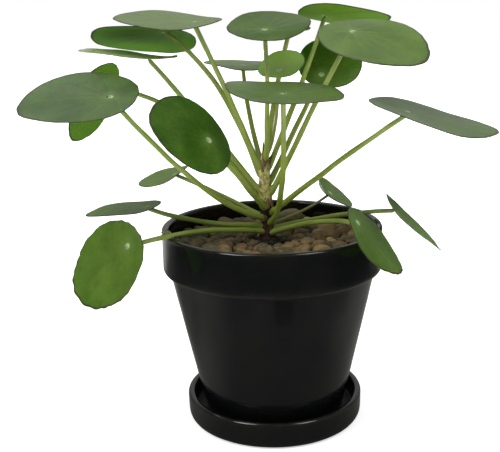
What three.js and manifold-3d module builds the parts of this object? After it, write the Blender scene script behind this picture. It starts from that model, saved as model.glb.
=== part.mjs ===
// Potted pilea (Chinese money plant): a glazed pot on its saucer, filled with soil under a gravel
// dressing, and one woody trunk that carries round leaves on long stalks.
//
// Frame: millimetres, +Z up. The origin is the middle of the saucer's flat underside.
import * as THREE from "three";
import { mergeVertices } from "three/addons/utils/BufferGeometryUtils.js";
import Module from "manifold-3d";

const wasm = await Module();
wasm.setup();

// ---------------------------------------------------------------- driving dimensions

const TURNED_SEGMENTS = 40; // facets round the pot and the saucer
const SEAT_GAP = 0.3; // clearance between pieces that touch

const saucer = {
  height: 16.3,
  lipRadius: 53.9, // outside, at the lip
  lean: 0.4, // how far the wall leans out, from its foot to the lip
  wall: 4.2,
  floor: 5, // top of the floor that the pot stands on
  footRounding: 5.5, // outside, between the flat underside and the wall
  cornerFillet: 2, // inside, between the floor and the wall
};

const pot = {
  top: 120.6, // height of the lip above the surface that the saucer stands on
  rimRadius: 65.8, // outside of the rim band: a 130 mm pot
  bandBottom: 95.2, // lower edge of the rim band
  bandStep: 3.8, // how far the band stands out from the cone below it
  baseRadius: 42.3, // outside, where the pot meets the saucer
  wall: 4.5,
  floor: 6,
  drainRadius: 6,
  edge: 2.2, // rounding of the band's lower edge
  footBevel: 1.5,
  floorFillet: 3, // inside, between the floor and the wall
  ledge: 6, // height of the slope inside the pot, behind the band's lower edge
};

const soil = {
  top: 107.6,
  mound: 2.2, // the soil rises this much towards the trunk
  moundRadius: [8, 12], // where the mound is level, and where it ends
};

const gravel = {
  thickness: 1.8, // of the bed of fine gravel between the pebbles
  eyeRadius: 12.5, // bare soil left round the trunk
  pebbles: 104,
  pebbleRadius: [3.9, 7], // smallest and largest half length
  smallNearTrunk: 18, // the largest pebbles lie at least this far outside the eye
  width: [0.72, 0.95], // half width over half length, narrowest and widest
  flatness: [0.59, 0.81], // half height over half length, flattest and fullest
  sink: 0.1, // share of the half height that lies below the top of the bed
  jitter: 1.6,
  seed: 20,
  rock: { at: [12, 33], rise: 3.5, radius: [8.8, 6.5, 8], turn: 0.3 },
};

const trunk = {
  foot: [-3, 6], // where it leaves the soil, seen from above
  buried: 18, // how far it reaches into the soil
  top: 157,
  baseRadius: 4,
  neckRadius: 3,
  budTop: 166,
  budBlunt: 0.03, // keeps the bud's end from closing to a point
  sway: 0.6, // how far the trunk swings to each side
  swayHeight: 9, // height over which it turns by one radian
  sides: 10,
  rings: 16,
};

const stalk = {
  baseRadius: 1.65,
  topRadius: 1.25,
  sides: 7,
  steps: 8,
};

const blade = {
  thickness: 1,
  segments: 20, // round the outline
  rings: 2, // from the hub to the edge
  apex: 0.035, // how far the blunt tip stands out, as a share of the length
  wave: 0.012, // height of the slow wave along the edge, as a share of the length
  headroom: 4, // a stalk is cut off this far over its own blade, so that none pokes through
};

// Each leaf, from the lowest joint on the trunk to the highest.
//   hub     where the stalk meets the blade
//   lean    how far the upper face leans from level, in degrees, and towards which bearing
//   tip     bearing of the blade's tip, seen from above
//   size    length and width of the blade
//   set     distance from the hub to the middle of the blade, as a share of half the length
//   cup     height of the edge over the hub, along and across the blade: above 0 a dish, below 0 a dome
//   joint   height of the stalk's joint on the trunk
//   bow     how far the stalk's middle stands off a straight line, along X, Y and Z
const leaves = [
  { name: "01", hub: [-41, -11, 239], lean: [8, -72], tip: 155, size: [62, 56], set: 0.53,
    cup: [1, -0.5], joint: 146, bow: [-2, 0, 8] },
  { name: "02", hub: [-61, 20, 233], lean: [18, 78], tip: 142, size: [65, 61], set: 0.55,
    cup: [-1.5, -2.5], joint: 135, bow: [11, 0, 23] },
  { name: "03", hub: [-70, 9, 219], lean: [6, 12], tip: 174, size: [57, 55], set: 0.41,
    cup: [1.7, 1.2], joint: 134, bow: [-1, 0, 4] },
  { name: "04", hub: [-84, -43, 202], lean: [21, -101], tip: 174, size: [65, 59], set: 0.53,
    cup: [-0.5, 1.7], joint: 121.8, bow: [8, 0, -28] },
  { name: "05", hub: [-102, 34, 200], lean: [66, 160], tip: -142, size: [53, 50], set: 0.4,
    cup: [-0.5, 0.5], joint: 127, bow: [4, 0, 36] },
  { name: "06", hub: [-32, -55, 180], lean: [54, -36], tip: -146, size: [50, 46], set: 0.39,
    cup: [-1.5, 0], joint: 127, bow: [0, 0, 0] },
  { name: "07", hub: [-60, 34, 145], lean: [20, -165], tip: 149, size: [35, 31], set: 0.55,
    cup: [1.4, 0], joint: 122, bow: [-8, 0, 6] },
  { name: "08", hub: [-73, -8, 134], lean: [7, 160], tip: -171, size: [44, 41], set: 0.59,
    cup: [1.4, 1.4], joint: 118.4, bow: [-6, 0, -7] },
  { name: "09", hub: [-79, -46, 121], lean: [62, -127], tip: 171, size: [52, 49], set: 0.62,
    cup: [0.2, 0.6], joint: 114.4, bow: [-4, 0, 8] },
  { name: "10", hub: [-2, -12, 234], lean: [16, -93], tip: 75, size: [52, 47], set: 0.38,
    cup: [-0.6, 0.3], joint: 148, bow: [3, -2, 0] },
  { name: "11", hub: [13, 39, 232], lean: [8, 100], tip: 150, size: [40, 38], set: 0.4,
    cup: [1, 1], joint: 155, bow: [-1, 4, 8] },
  { name: "12", hub: [6, 8, 210], lean: [28, -113], tip: 75, size: [30, 28], set: 0.42,
    cup: [0.8, 0.2], joint: 150, bow: [4, -1, 1] },
  { name: "13", hub: [35, 46, 240], lean: [16, 59], tip: -31, size: [57, 50], set: 0.44,
    cup: [-0.4, 0], joint: 147, bow: [8, 0, 16] },
  { name: "14", hub: [7, -54, 203], lean: [7, -46], tip: 85, size: [62, 63], set: 0.3,
    cup: [-0.7, 0.6], joint: 116.4, bow: [7, 24, -37] },
  { name: "15", hub: [32, 33, 205], lean: [44, -87], tip: 54, size: [42, 39], set: 0.58,
    cup: [-0.8, -0.7], joint: 139, bow: [4, 0, 9] },
  { name: "16", hub: [46, -17, 232], lean: [24, -88], tip: -40, size: [64, 50], set: 0.42,
    cup: [-2, 0.3], joint: 131.5, bow: [4, 0, 11] },
  { name: "17", hub: [-16, 41, 211], lean: [4, -45], tip: 108, size: [47, 44], set: 0.45,
    cup: [-1, 0.8], joint: 150, bow: [-4, 0, 0] },
  { name: "18", hub: [73, -44, 191], lean: [17, -20], tip: 15, size: [72, 57], set: 0.39,
    cup: [1.3, 0.2], joint: 123.5, bow: [-3, 0, 1] },
  { name: "19", hub: [37, 31, 131.5], lean: [39, -14], tip: 59, size: [27, 27], set: 0.5,
    cup: [0, 1.5], joint: 118.5, bow: [2, 2, -4] },
  { name: "20", hub: [46, -50, 133], lean: [52, -22], tip: 3, size: [45, 37], set: 0.6,
    cup: [1, -0.6], joint: 112.7, bow: [8, 8, 6] },
  { name: "21", hub: [76, 15, 124], lean: [48, 12], tip: 0, size: [48, 44], set: 0.55,
    cup: [3, 1.5], joint: 115.2, bow: [-1, -2, 5] },
];

// ---------------------------------------------------------------- materials

function material(color, roughness, metalness = 0) {
  return new THREE.MeshStandardMaterial({ color, roughness, metalness });
}

const glaze = material(0x0b0c0c, 0.12);
const soilDark = material(0x2e231b, 0.95);
const gravelTan = material(0x8a7563, 0.8);
const bark = material(0x6b4a30, 0.85);
const leafGreen = material(0x3f6b32, 0.45);
const stalkGreen = material(0x7fa04e, 0.5);

// ---------------------------------------------------------------- helpers

const radians = THREE.MathUtils.degToRad;
const lerp = THREE.MathUtils.lerp;

// A seeded source of numbers from 0 to 1.
function randomSource(seed) {
  let state = seed;
  return () => {
    state = (state * 1664525 + 1013904223) % 4294967296;
    return state / 4294967296;
  };
}

// A closed three.js geometry as a solid that can be joined and cut.
function toSolid(geometry) {
  const bare = geometry.index ? geometry.toNonIndexed() : geometry.clone();
  bare.deleteAttribute("normal");
  bare.deleteAttribute("uv");
  const merged = mergeVertices(bare, 1e-3);
  return new wasm.Manifold(
    new wasm.Mesh({
      numProp: 3,
      vertProperties: new Float32Array(merged.attributes.position.array),
      triVerts: new Uint32Array(merged.index.array),
    }),
  );
}

// A solid as a three.js geometry.
function toGeometry(solid) {
  const mesh = solid.getMesh();
  const positions = new Float32Array(mesh.numVert * 3);
  for (let i = 0; i < mesh.numVert; i++) {
    for (let axis = 0; axis < 3; axis++) {
      positions[3 * i + axis] = mesh.vertProperties[mesh.numProp * i + axis];
    }
  }
  const geometry = new THREE.BufferGeometry();
  geometry.setAttribute("position", new THREE.BufferAttribute(positions, 3));
  geometry.setIndex(new THREE.BufferAttribute(new Uint32Array(mesh.triVerts), 1));
  geometry.computeVertexNormals();
  return geometry;
}

// Points of a quarter round from one bearing to another, in the profile's (radius, height) plane.
function arc(centreRadius, centreHeight, radius, fromDegrees, toDegrees, steps = 3) {
  const points = [];
  for (let i = 0; i <= steps; i++) {
    const angle = radians(lerp(fromDegrees, toDegrees, i / steps));
    points.push([centreRadius + radius * Math.cos(angle), centreHeight + radius * Math.sin(angle)]);
  }
  return points;
}

// A profile of (radius, height) pairs turned round the Z axis. It runs up the outside.
function turned(profile, segments = TURNED_SEGMENTS) {
  const points = profile.map(([radius, height]) => new THREE.Vector2(radius, height));
  return new THREE.LatheGeometry(points, segments).rotateX(Math.PI / 2);
}

function addMesh(parent, name, geometry, look) {
  const mesh = new THREE.Mesh(geometry, look);
  mesh.name = name;
  parent.add(mesh);
  return mesh;
}

// ---------------------------------------------------------------- saucer and pot

function saucerGeometry() {
  const { height, lipRadius, lean, wall, floor, footRounding, cornerFillet } = saucer;
  const lip = wall / 2;
  const footRadius = lipRadius - lean;
  const insideFoot = footRadius - wall;
  return turned([
    [0, 0],
    ...arc(footRadius - footRounding, footRounding, footRounding, -90, 0, 4),
    ...arc(lipRadius - lip, height - lip, lip, 0, 180, 6),
    [insideFoot, floor + cornerFillet],
    [insideFoot - cornerFillet, floor],
    [0, floor],
  ]);
}

const potFoot = saucer.floor + SEAT_GAP;
const potFloor = potFoot + pot.floor;
const coneTopRadius = pot.rimRadius - pot.bandStep;

// Outside radius of the cone below the rim band, at a height.
function coneRadius(height) {
  const share = (height - potFoot) / (pot.bandBottom - potFoot);
  return lerp(pot.baseRadius, coneTopRadius, share);
}

// Inside radius of the pot, at a height: straight behind the rim band, and a cone below it.
function insideRadius(height) {
  const behindBand = height >= pot.bandBottom + pot.ledge;
  return (behindBand ? pot.rimRadius : coneRadius(height)) - pot.wall;
}

function potGeometry() {
  const { top, rimRadius, bandBottom, baseRadius, wall, drainRadius } = pot;
  const { edge, footBevel, floorFillet, ledge } = pot;
  const lip = wall / 2;
  return turned([
    [drainRadius, potFoot],
    [baseRadius - footBevel, potFoot],
    [coneRadius(potFoot + footBevel), potFoot + footBevel],
    [coneTopRadius, bandBottom],
    ...arc(rimRadius - edge, bandBottom + edge, edge, -90, 0),
    ...arc(rimRadius - lip, top - lip, lip, 0, 180, 6),
    [rimRadius - wall, bandBottom + ledge],
    [insideRadius(bandBottom), bandBottom],
    [insideRadius(potFloor + floorFillet), potFloor + floorFillet],
    [insideRadius(potFloor) - floorFillet, potFloor],
    [drainRadius, potFloor],
    [drainRadius, potFoot],
  ]);
}

// ---------------------------------------------------------------- trunk

// A point on the trunk's middle line, at a height.
function trunkPoint(height) {
  const swing = trunk.sway * Math.sin((height - soil.top) / trunk.swayHeight);
  return new THREE.Vector3(trunk.foot[0] + swing, trunk.foot[1], height);
}

function trunkRadius(height) {
  const share = (height - soil.top) / (trunk.top - soil.top);
  const body = lerp(trunk.baseRadius, trunk.neckRadius, THREE.MathUtils.clamp(share, 0, 1));
  const budShare = (height - trunk.top) / (trunk.budTop - trunk.top);
  return budShare > 0 ? body * Math.sqrt(Math.max(trunk.budBlunt, 1 - budShare)) : body;
}

// The trunk's outer form, grown by a clearance on every side.
function trunkSolid(clearance = 0) {
  const bottom = soil.top - trunk.buried - clearance;
  const top = trunk.budTop + clearance;
  const profile = [[0, bottom]];
  for (let i = 0; i <= trunk.rings; i++) {
    const height = lerp(bottom, top, i / trunk.rings);
    profile.push([trunkRadius(height) + clearance, height]);
  }
  profile.push([0, top]);
  const geometry = turned(profile, trunk.sides);
  const position = geometry.attributes.position;
  for (let i = 0; i < position.count; i++) {
    const centre = trunkPoint(position.getZ(i));
    position.setX(i, position.getX(i) + centre.x);
    position.setY(i, position.getY(i) + centre.y);
  }
  return toSolid(geometry);
}

// ---------------------------------------------------------------- soil and gravel

function soilSolid() {
  const bottom = potFloor + SEAT_GAP;
  const aboveLedge = pot.bandBottom + pot.ledge;
  const [moundTop, moundEnd] = soil.moundRadius;
  const side = (height) => insideRadius(height) - SEAT_GAP;
  const geometry = turned([
    [0, bottom],
    [side(bottom) - pot.floorFillet, bottom],
    [side(bottom + pot.floorFillet), bottom + pot.floorFillet],
    [side(pot.bandBottom), pot.bandBottom],
    [side(aboveLedge), aboveLedge],
    [side(soil.top), soil.top],
    [moundEnd, soil.top],
    [moundTop, soil.top + soil.mound],
    [0, soil.top + soil.mound],
  ]);
  return toSolid(geometry).subtract(trunkSolid(SEAT_GAP));
}

// One pebble: a few-sided ball, flattened and turned about the upright.
function pebbleSolid(x, y, z, radii, turn, detail = 0) {
  const geometry = new THREE.IcosahedronGeometry(1, detail)
    .scale(...radii)
    .rotateZ(turn)
    .translate(x, y, z);
  return toSolid(geometry);
}

function gravelSolid() {
  const random = randomSource(gravel.seed);
  const bottom = soil.top + SEAT_GAP;
  const top = bottom + gravel.thickness;
  const reach = insideRadius(soil.top) - SEAT_GAP;
  const eye = gravel.eyeRadius;
  const bed = turned([[eye, bottom], [reach, bottom], [reach, top], [eye, top], [eye, bottom]]);
  const goldenAngle = Math.PI * (3 - Math.sqrt(5));
  const pieces = [toSolid(bed)];
  const first = Math.ceil(gravel.pebbles * (eye / reach) ** 2);
  for (let i = first; i < gravel.pebbles; i++) {
    const spread = Math.sqrt((i + 0.5) / gravel.pebbles) * reach;
    const outward = Math.min(1, (spread - eye) / gravel.smallNearTrunk);
    const largest = lerp(...gravel.pebbleRadius, outward);
    const half = lerp(gravel.pebbleRadius[0], largest, random() ** 1.5);
    const width = half * lerp(...gravel.width, random());
    const height = half * lerp(...gravel.flatness, random());
    const distance = THREE.MathUtils.clamp(spread, eye + half, reach - half);
    const bearing = i * goldenAngle + (random() - 0.5) * (gravel.jitter / distance);
    const x = distance * Math.cos(bearing);
    const y = distance * Math.sin(bearing);
    const z = top - height * gravel.sink;
    pieces.push(pebbleSolid(x, y, z, [half, width, height], random() * Math.PI));
  }
  const rock = gravel.rock;
  pieces.push(pebbleSolid(...rock.at, top + rock.rise, rock.radius, rock.turn, 1));
  const below = new THREE.CylinderGeometry(pot.rimRadius, pot.rimRadius, soil.top, 8)
    .rotateX(Math.PI / 2)
    .translate(0, 0, bottom - soil.top / 2);
  return wasm.Manifold.union(pieces).subtract(toSolid(below));
}

// ---------------------------------------------------------------- leaves

// The blade's own axes: its upper normal, the way to its tip, and the way across.
function bladeAxes(leaf) {
  const [tilt, towards] = leaf.lean.map(radians);
  const normal = new THREE.Vector3(
    Math.sin(tilt) * Math.cos(towards),
    Math.sin(tilt) * Math.sin(towards),
    Math.cos(tilt),
  );
  const bearing = radians(leaf.tip);
  const along = new THREE.Vector3(Math.cos(bearing), Math.sin(bearing), 0);
  along.z = -(along.x * normal.x + along.y * normal.y) / normal.z;
  along.normalize();
  const across = new THREE.Vector3().crossVectors(normal, along);
  return new THREE.Matrix4().makeBasis(along, across, normal).setPosition(...leaf.hub);
}

// A round blade as a turned disc, drawn out to its outline and given its dish or dome.
function bladeSolid(leaf, under, over) {
  const profile = [[0, -under]];
  for (let i = 1; i <= blade.rings; i++) profile.push([i / blade.rings, -under]);
  for (let i = blade.rings; i >= 1; i--) profile.push([i / blade.rings, over]);
  profile.push([0, over]);
  const geometry = turned(profile, blade.segments);
  const position = geometry.attributes.position;
  const halfLength = leaf.size[0] / 2;
  const halfWidth = leaf.size[1] / 2;
  for (let i = 0; i < position.count; i++) {
    const share = Math.hypot(position.getX(i), position.getY(i));
    const angle = Math.atan2(position.getY(i), position.getX(i));
    const outline = 1 + blade.apex * Math.max(0, Math.cos(angle)) ** 6;
    const middle = leaf.set * halfLength * share;
    const along = middle + share * outline * halfLength * Math.cos(angle);
    const across = share * outline * halfWidth * Math.sin(angle);
    const wave = blade.wave * leaf.size[0] * share ** 2 * Math.sin(3 * angle + leaf.tip);
    position.setX(i, along);
    position.setY(i, across);
    const dish = leaf.cup[0] * Math.cos(angle) ** 2 + leaf.cup[1] * Math.sin(angle) ** 2;
    position.setZ(i, position.getZ(i) + dish * share ** 2 + wave);
  }
  geometry.applyMatrix4(bladeAxes(leaf));
  return toSolid(geometry);
}

// The stalk's middle line, from the trunk's middle to the blade.
function stalkPath(leaf) {
  const start = trunkPoint(leaf.joint);
  const end = new THREE.Vector3(...leaf.hub);
  const control = start.clone().lerp(end, 0.5);
  control.add(new THREE.Vector3(...leaf.bow));
  return new THREE.QuadraticBezierCurve3(start, control, end);
}

// A round stalk that tapers towards the blade, cut clear of the trunk and of the blade.
function stalkSolid(leaf) {
  const path = stalkPath(leaf);
  const section = new THREE.Shape();
  for (let i = 0; i < stalk.sides; i++) {
    const angle = (2 * Math.PI * i) / stalk.sides;
    const x = stalk.baseRadius * Math.cos(angle);
    const y = stalk.baseRadius * Math.sin(angle);
    if (i === 0) section.moveTo(x, y);
    else section.lineTo(x, y);
  }
  section.closePath();
  const geometry = new THREE.ExtrudeGeometry(section, {
    steps: stalk.steps,
    extrudePath: path,
    bevelEnabled: false,
  });
  const centres = path.getSpacedPoints(stalk.steps);
  const position = geometry.attributes.position;
  const point = new THREE.Vector3();
  for (let i = 0; i < position.count; i++) {
    point.fromBufferAttribute(position, i);
    const distances = centres.map((centre) => centre.distanceTo(point));
    const nearest = distances.indexOf(Math.min(...distances));
    const taper = lerp(1, stalk.topRadius / stalk.baseRadius, nearest / stalk.steps);
    point.sub(centres[nearest]).multiplyScalar(taper).add(centres[nearest]);
    position.setXYZ(i, point.x, point.y, point.z);
  }
  const bladeClearance = bladeSolid(leaf, blade.thickness / 2 + SEAT_GAP, blade.headroom);
  return toSolid(geometry).subtract(trunkSolid(SEAT_GAP)).subtract(bladeClearance);
}

// ---------------------------------------------------------------- the part

const part = new THREE.Group();
part.name = "potted_pilea_plant";

addMesh(part, "saucer", saucerGeometry(), glaze);
addMesh(part, "pot", potGeometry(), glaze);
addMesh(part, "soil", toGeometry(soilSolid()), soilDark);
addMesh(part, "gravel", toGeometry(gravelSolid()), gravelTan);
addMesh(part, "trunk", toGeometry(trunkSolid()), bark);

for (const leaf of leaves) {
  const solid = bladeSolid(leaf, blade.thickness / 2, blade.thickness / 2);
  addMesh(part, `leaf_blade_${leaf.name}`, toGeometry(solid), leafGreen);
  addMesh(part, `leaf_stalk_${leaf.name}`, toGeometry(stalkSolid(leaf)), stalkGreen);
}

export default part;
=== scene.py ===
"""Dresses the potted pilea: glazed pot and saucer, soil, river gravel, woody trunk, stalks and round leaves.

Geometry is worked out in millimetres and written to meshes in metres.
"""
import math

import bmesh
import bpy
import numpy as np
from bpy.props import BoolProperty, FloatProperty, FloatVectorProperty, IntProperty, PointerProperty
from mathutils import Matrix, Vector


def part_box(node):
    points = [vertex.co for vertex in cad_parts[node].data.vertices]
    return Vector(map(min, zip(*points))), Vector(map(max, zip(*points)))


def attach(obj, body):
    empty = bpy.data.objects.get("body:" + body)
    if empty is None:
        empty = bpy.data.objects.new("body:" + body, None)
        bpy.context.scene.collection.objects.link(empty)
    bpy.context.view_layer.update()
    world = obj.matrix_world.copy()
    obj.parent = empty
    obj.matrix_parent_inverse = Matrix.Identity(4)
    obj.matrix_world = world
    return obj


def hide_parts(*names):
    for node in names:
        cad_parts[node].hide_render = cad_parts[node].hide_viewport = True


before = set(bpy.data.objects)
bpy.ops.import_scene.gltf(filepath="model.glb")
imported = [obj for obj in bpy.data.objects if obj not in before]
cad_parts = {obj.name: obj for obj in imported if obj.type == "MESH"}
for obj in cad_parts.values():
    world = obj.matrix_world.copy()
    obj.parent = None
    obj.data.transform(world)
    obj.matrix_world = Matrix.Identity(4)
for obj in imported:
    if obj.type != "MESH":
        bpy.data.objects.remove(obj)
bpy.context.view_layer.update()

bl_info = {
    "name": "Potted Pilea",
    "version": (1, 0, 0),
    "blender": (4, 5, 0),
    "location": "3D View > Sidebar > Pilea",
    "description": "Builds a potted pilea plant on its saucer, piece by piece",
    "category": "Add Mesh",
}

MM = 0.001
LEAF_NAMES = sorted(name[-2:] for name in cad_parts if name.startswith("leaf_blade_"))
WELD = 0.05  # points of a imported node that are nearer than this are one
GOLDEN_ANGLE = math.pi * (3 - math.sqrt(5))
NOISE_FACTORS = np.array([73856093, 19349663, 83492791])
MATERIALS = {}


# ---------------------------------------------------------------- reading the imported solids


def node_box(name):
    """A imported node's lowest and highest corners, in millimetres."""
    low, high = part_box(name)
    return np.array(low) / MM, np.array(high) / MM


def node_surface(name):
    """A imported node's welded points, in millimetres, and its triangles."""
    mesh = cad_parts[name].data
    points = np.empty(3 * len(mesh.vertices))
    mesh.vertices.foreach_get("co", points)
    points = points.reshape(-1, 3) / MM
    places = np.round(points / WELD).astype(int)
    _, first, index = np.unique(places, axis=0, return_index=True, return_inverse=True)
    mesh.calc_loop_triangles()
    corners = np.empty(3 * len(mesh.loop_triangles), np.int32)
    mesh.loop_triangles.foreach_get("vertices", corners)
    return points[first], index.ravel()[corners].reshape(-1, 3)


# ---------------------------------------------------------------- noise


def step_between(value, low, high):
    """A smooth rise from 0 at low to 1 at high."""
    share = np.clip((np.asarray(value, float) - low) / (high - low), 0, 1)
    return share * share * (3 - 2 * share)


def smooth_noise(points, size, seed):
    """Smooth noise from -1 to 1 at each point, with features of about the given size."""
    scaled = np.asarray(points, float) / size + 100.0
    cell = np.floor(scaled).astype(np.int64)
    part = step_between(scaled - cell, 0, 1)
    total = np.zeros(len(scaled))
    for corner in np.ndindex(2, 2, 2):
        mixed = np.bitwise_xor.reduce((cell + corner) * NOISE_FACTORS, axis=1) ^ (seed * 2654435761)
        mixed = ((mixed ^ (mixed >> 13)) * 1274126177) & 0xFFFFFFFF
        mixed = ((mixed ^ (mixed >> 16)) * 2246822519) & 0xFFFFFFFF
        weight = np.prod(np.where(np.array(corner) == 1, part, 1 - part), axis=1)
        total += weight * (mixed / 0x7FFFFFFF - 1)
    return total


def noises(points, *layers):
    """Smooth noise summed from layers of (height, size, seed)."""
    return sum(height * smooth_noise(points, size, seed) for height, size, seed in layers)


def noise_along(values, size, seed):
    """Smooth noise for single numbers."""
    return smooth_noise(np.stack([values, 0 * values, 0 * values], -1), size, seed)


def drift(points, size, seed):
    """A smooth random shift of each point, along all three axes."""
    return np.stack([smooth_noise(points, size, seed + k) for k in range(3)], -1)


# ---------------------------------------------------------------- mesh helpers


def make_piece(name, points, faces, finishes, slot, nodes=(), corner_uv=None, face_finish=None):
    """A smooth mesh piece, in its place, that rides on the object and stands for the given nodes."""
    mesh = bpy.data.meshes.new(name)
    mesh.from_pydata((np.asarray(points) * MM).tolist(), [], [tuple(map(int, face)) for face in faces])
    for finish in finishes:
        mesh.materials.append(MATERIALS[finish])
    if face_finish is not None:
        mesh.polygons.foreach_set("material_index", np.asarray(face_finish, np.int32))
    if corner_uv is not None:
        layer = mesh.uv_layers.new(name="surface")
        layer.data.foreach_set("uv", np.asarray(corner_uv, np.float32).ravel())
    mesh.shade_smooth()
    mesh.validate()
    mesh.update()
    piece = bpy.data.objects.new(name, mesh)
    bpy.context.scene.collection.objects.link(piece)
    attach(piece, "root")
    if nodes:
        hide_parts(*nodes)
    return piece


def add_values(piece, **layers):
    """Numbers or colours for each point of a piece, for its material to read."""
    for name, values in layers.items():
        values = np.asarray(values, np.float32)
        if values.ndim == 2:
            rgba = np.ones((len(values), 4), np.float32)
            rgba[:, :3] = values
            piece.data.attributes.new(name, "FLOAT_COLOR", "POINT").data.foreach_set("color", rgba.ravel())
        else:
            values = np.ones(len(piece.data.vertices), np.float32) * values
            piece.data.attributes.new(name, "FLOAT", "POINT").data.foreach_set("value", values)


def circle(sides):
    """Angles that part a full turn evenly."""
    return np.arange(sides) * 2 * math.pi / sides


def grid_faces(rings, sides, closed=False):
    """Quads between rings of points, each ring closed on itself. closed joins the last ring to the first."""
    count = rings if closed else rings - 1
    ring, side = np.meshgrid(np.arange(count), np.arange(sides), indexing="ij")
    here, after = ring * sides, (ring + 1) % rings * sides
    beside = (side + 1) % sides
    return np.stack([here + side, here + beside, after + beside, after + side], -1).reshape(-1, 4)


def grid_map(u_low, u_high, along):
    """The map of a grid's quads, corner by corner: how far round the piece, and how far along it."""
    shape = (len(along) - 1, len(u_low), 4)
    u = np.stack([u_low, u_high, u_high, u_low], -1)
    v = np.stack([along[:-1], along[:-1], along[1:], along[1:]], -1)[:, None]
    return np.stack([np.broadcast_to(u, shape), np.broadcast_to(v, shape)], -1).reshape(-1, 2)


def fan_faces(centre, ring_start, sides, upward=True):
    """Triangles from a centre point to a ring."""
    side = np.arange(sides)
    beside = (side + 1) % sides
    first, second = (side, beside) if upward else (beside, side)
    return np.stack([np.full(sides, centre), ring_start + first, ring_start + second], -1)


def turned_points(profile, sides):
    """Rings of points from a profile of (radius, height) pairs, turned round the upright axis."""
    profile = np.asarray(profile, float)
    x, y = (profile[:, :1] * turn(circle(sides)) for turn in (np.cos, np.sin))
    return np.stack([x, y, np.repeat(profile[:, 1:], sides, axis=1)], -1).reshape(-1, 3)


def rounded(corners, steps=6):
    """A profile through (radius, height, rounding) corners, each bent like an arc of that size."""
    places = [np.array(corner[:2], float) for corner in corners]
    out = [places[0]]
    for before, here, after, (_, _, size) in zip(places, places[1:], places[2:], corners[1:]):
        if size <= 0:
            out.append(here)
            continue
        start = here + (before - here) * min(0.5, size / np.linalg.norm(before - here))
        end = here + (after - here) * min(0.5, size / np.linalg.norm(after - here))
        for t in np.linspace(0, 1, steps + 1):
            out.append((1 - t) ** 2 * start + 2 * t * (1 - t) * here + t * t * end)
    return np.array(out + [places[-1]])


def refined(profile, longest):
    """The profile with extra points, so that none are further apart than longest."""
    out = [profile[0]]
    for start, end in zip(profile[:-1], profile[1:]):
        count = max(1, math.ceil(np.linalg.norm(end - start) / longest))
        out += [start + (end - start) * k / count for k in range(1, count + 1)]
    return np.array(out)


def tube(path, radius, sides):
    """Points and faces of a closed tube round a path. radius is given for each ring, or ring and side."""
    rings = len(path)
    tangent = np.gradient(path, axis=0)
    tangent /= np.linalg.norm(tangent, axis=1, keepdims=True)
    side = np.empty_like(path)  # carried along the path without twist
    guess = np.array([0.0, 0.0, 1.0]) if abs(tangent[0][2]) < 0.9 else np.array([1.0, 0.0, 0.0])
    for i, along in enumerate(tangent):
        guess = guess - along * (guess @ along)
        guess = guess / np.linalg.norm(guess)
        side[i] = guess
    other = np.cross(tangent, side)
    radius = np.broadcast_to(np.asarray(radius, float).reshape(rings, -1), (rings, sides))
    angle = circle(sides)
    ring = side[:, None] * np.cos(angle)[None, :, None] + other[:, None] * np.sin(angle)[None, :, None]
    points = path[:, None] + ring * radius[..., None]
    points = np.vstack([points.reshape(-1, 3), path[0], path[-1]])
    start_cap = fan_faces(rings * sides, 0, sides, upward=False)
    end_cap = fan_faces(rings * sides + 1, (rings - 1) * sides, sides)
    return points, [*grid_faces(rings, sides), *start_cap, *end_cap]


def ball(level):
    """Points and triangles of a unit ball."""
    mesh = bmesh.new()
    bmesh.ops.create_icosphere(mesh, subdivisions=level, radius=1)
    points = np.array([v.co[:] for v in mesh.verts])
    faces = np.array([[v.index for v in f.verts] for f in mesh.faces])
    mesh.free()
    return points, faces


def fused(bodies):
    """Many bodies, each a pair of points and faces, as one."""
    points, faces, start = [], [], 0
    for body_points, body_faces in bodies:
        points.append(body_points)
        faces += [face + start for face in body_faces]
        start += len(body_points)
    return np.vstack(points), faces


# ---------------------------------------------------------------- material helpers


class Signal:
    """What a shader node gives out. Arithmetic on it adds the nodes that work it out."""

    def __init__(self, socket):
        self.socket = socket

    def math(self, operation, *others):
        return add_node(self.socket.id_data, "Math", (self, *others), operation=operation)

    def __add__(self, other):
        return self.math("ADD", other)

    def __sub__(self, other):
        return self.math("SUBTRACT", other)

    def __mul__(self, other):
        return self.math("MULTIPLY", other)

    def __truediv__(self, other):
        return self.math("DIVIDE", other)

    def __abs__(self):
        return self.math("ABSOLUTE")

    def clamped(self):
        """The same, kept between 0 and 1."""
        self.socket.node.use_clamp = True
        return self

    def rise(self, low, high, start=0.0, end=1.0):
        """A smooth change from start, where this is low, to end, where it is high."""
        inputs = (self, low, high, start, end)
        return add_node(self.socket.id_data, "MapRange", inputs, interpolation_type="SMOOTHSTEP")


def add_node(tree, kind, inputs=(), output=0, **settings):
    """Add a shader node. inputs are plain values or signals, in order or by their sockets' names."""
    node = tree.nodes.new("ShaderNode" + kind)
    for setting, value in settings.items():
        setattr(node, setting, value)
    for place, value in inputs.items() if isinstance(inputs, dict) else enumerate(inputs):
        socket = node.inputs[place]
        if isinstance(value, Signal):
            tree.links.new(value.socket, socket)
        elif socket.type == "RGBA":
            socket.default_value = (*value, 1)
        else:
            socket.default_value = value
    return Signal(node.outputs[output])


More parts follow.
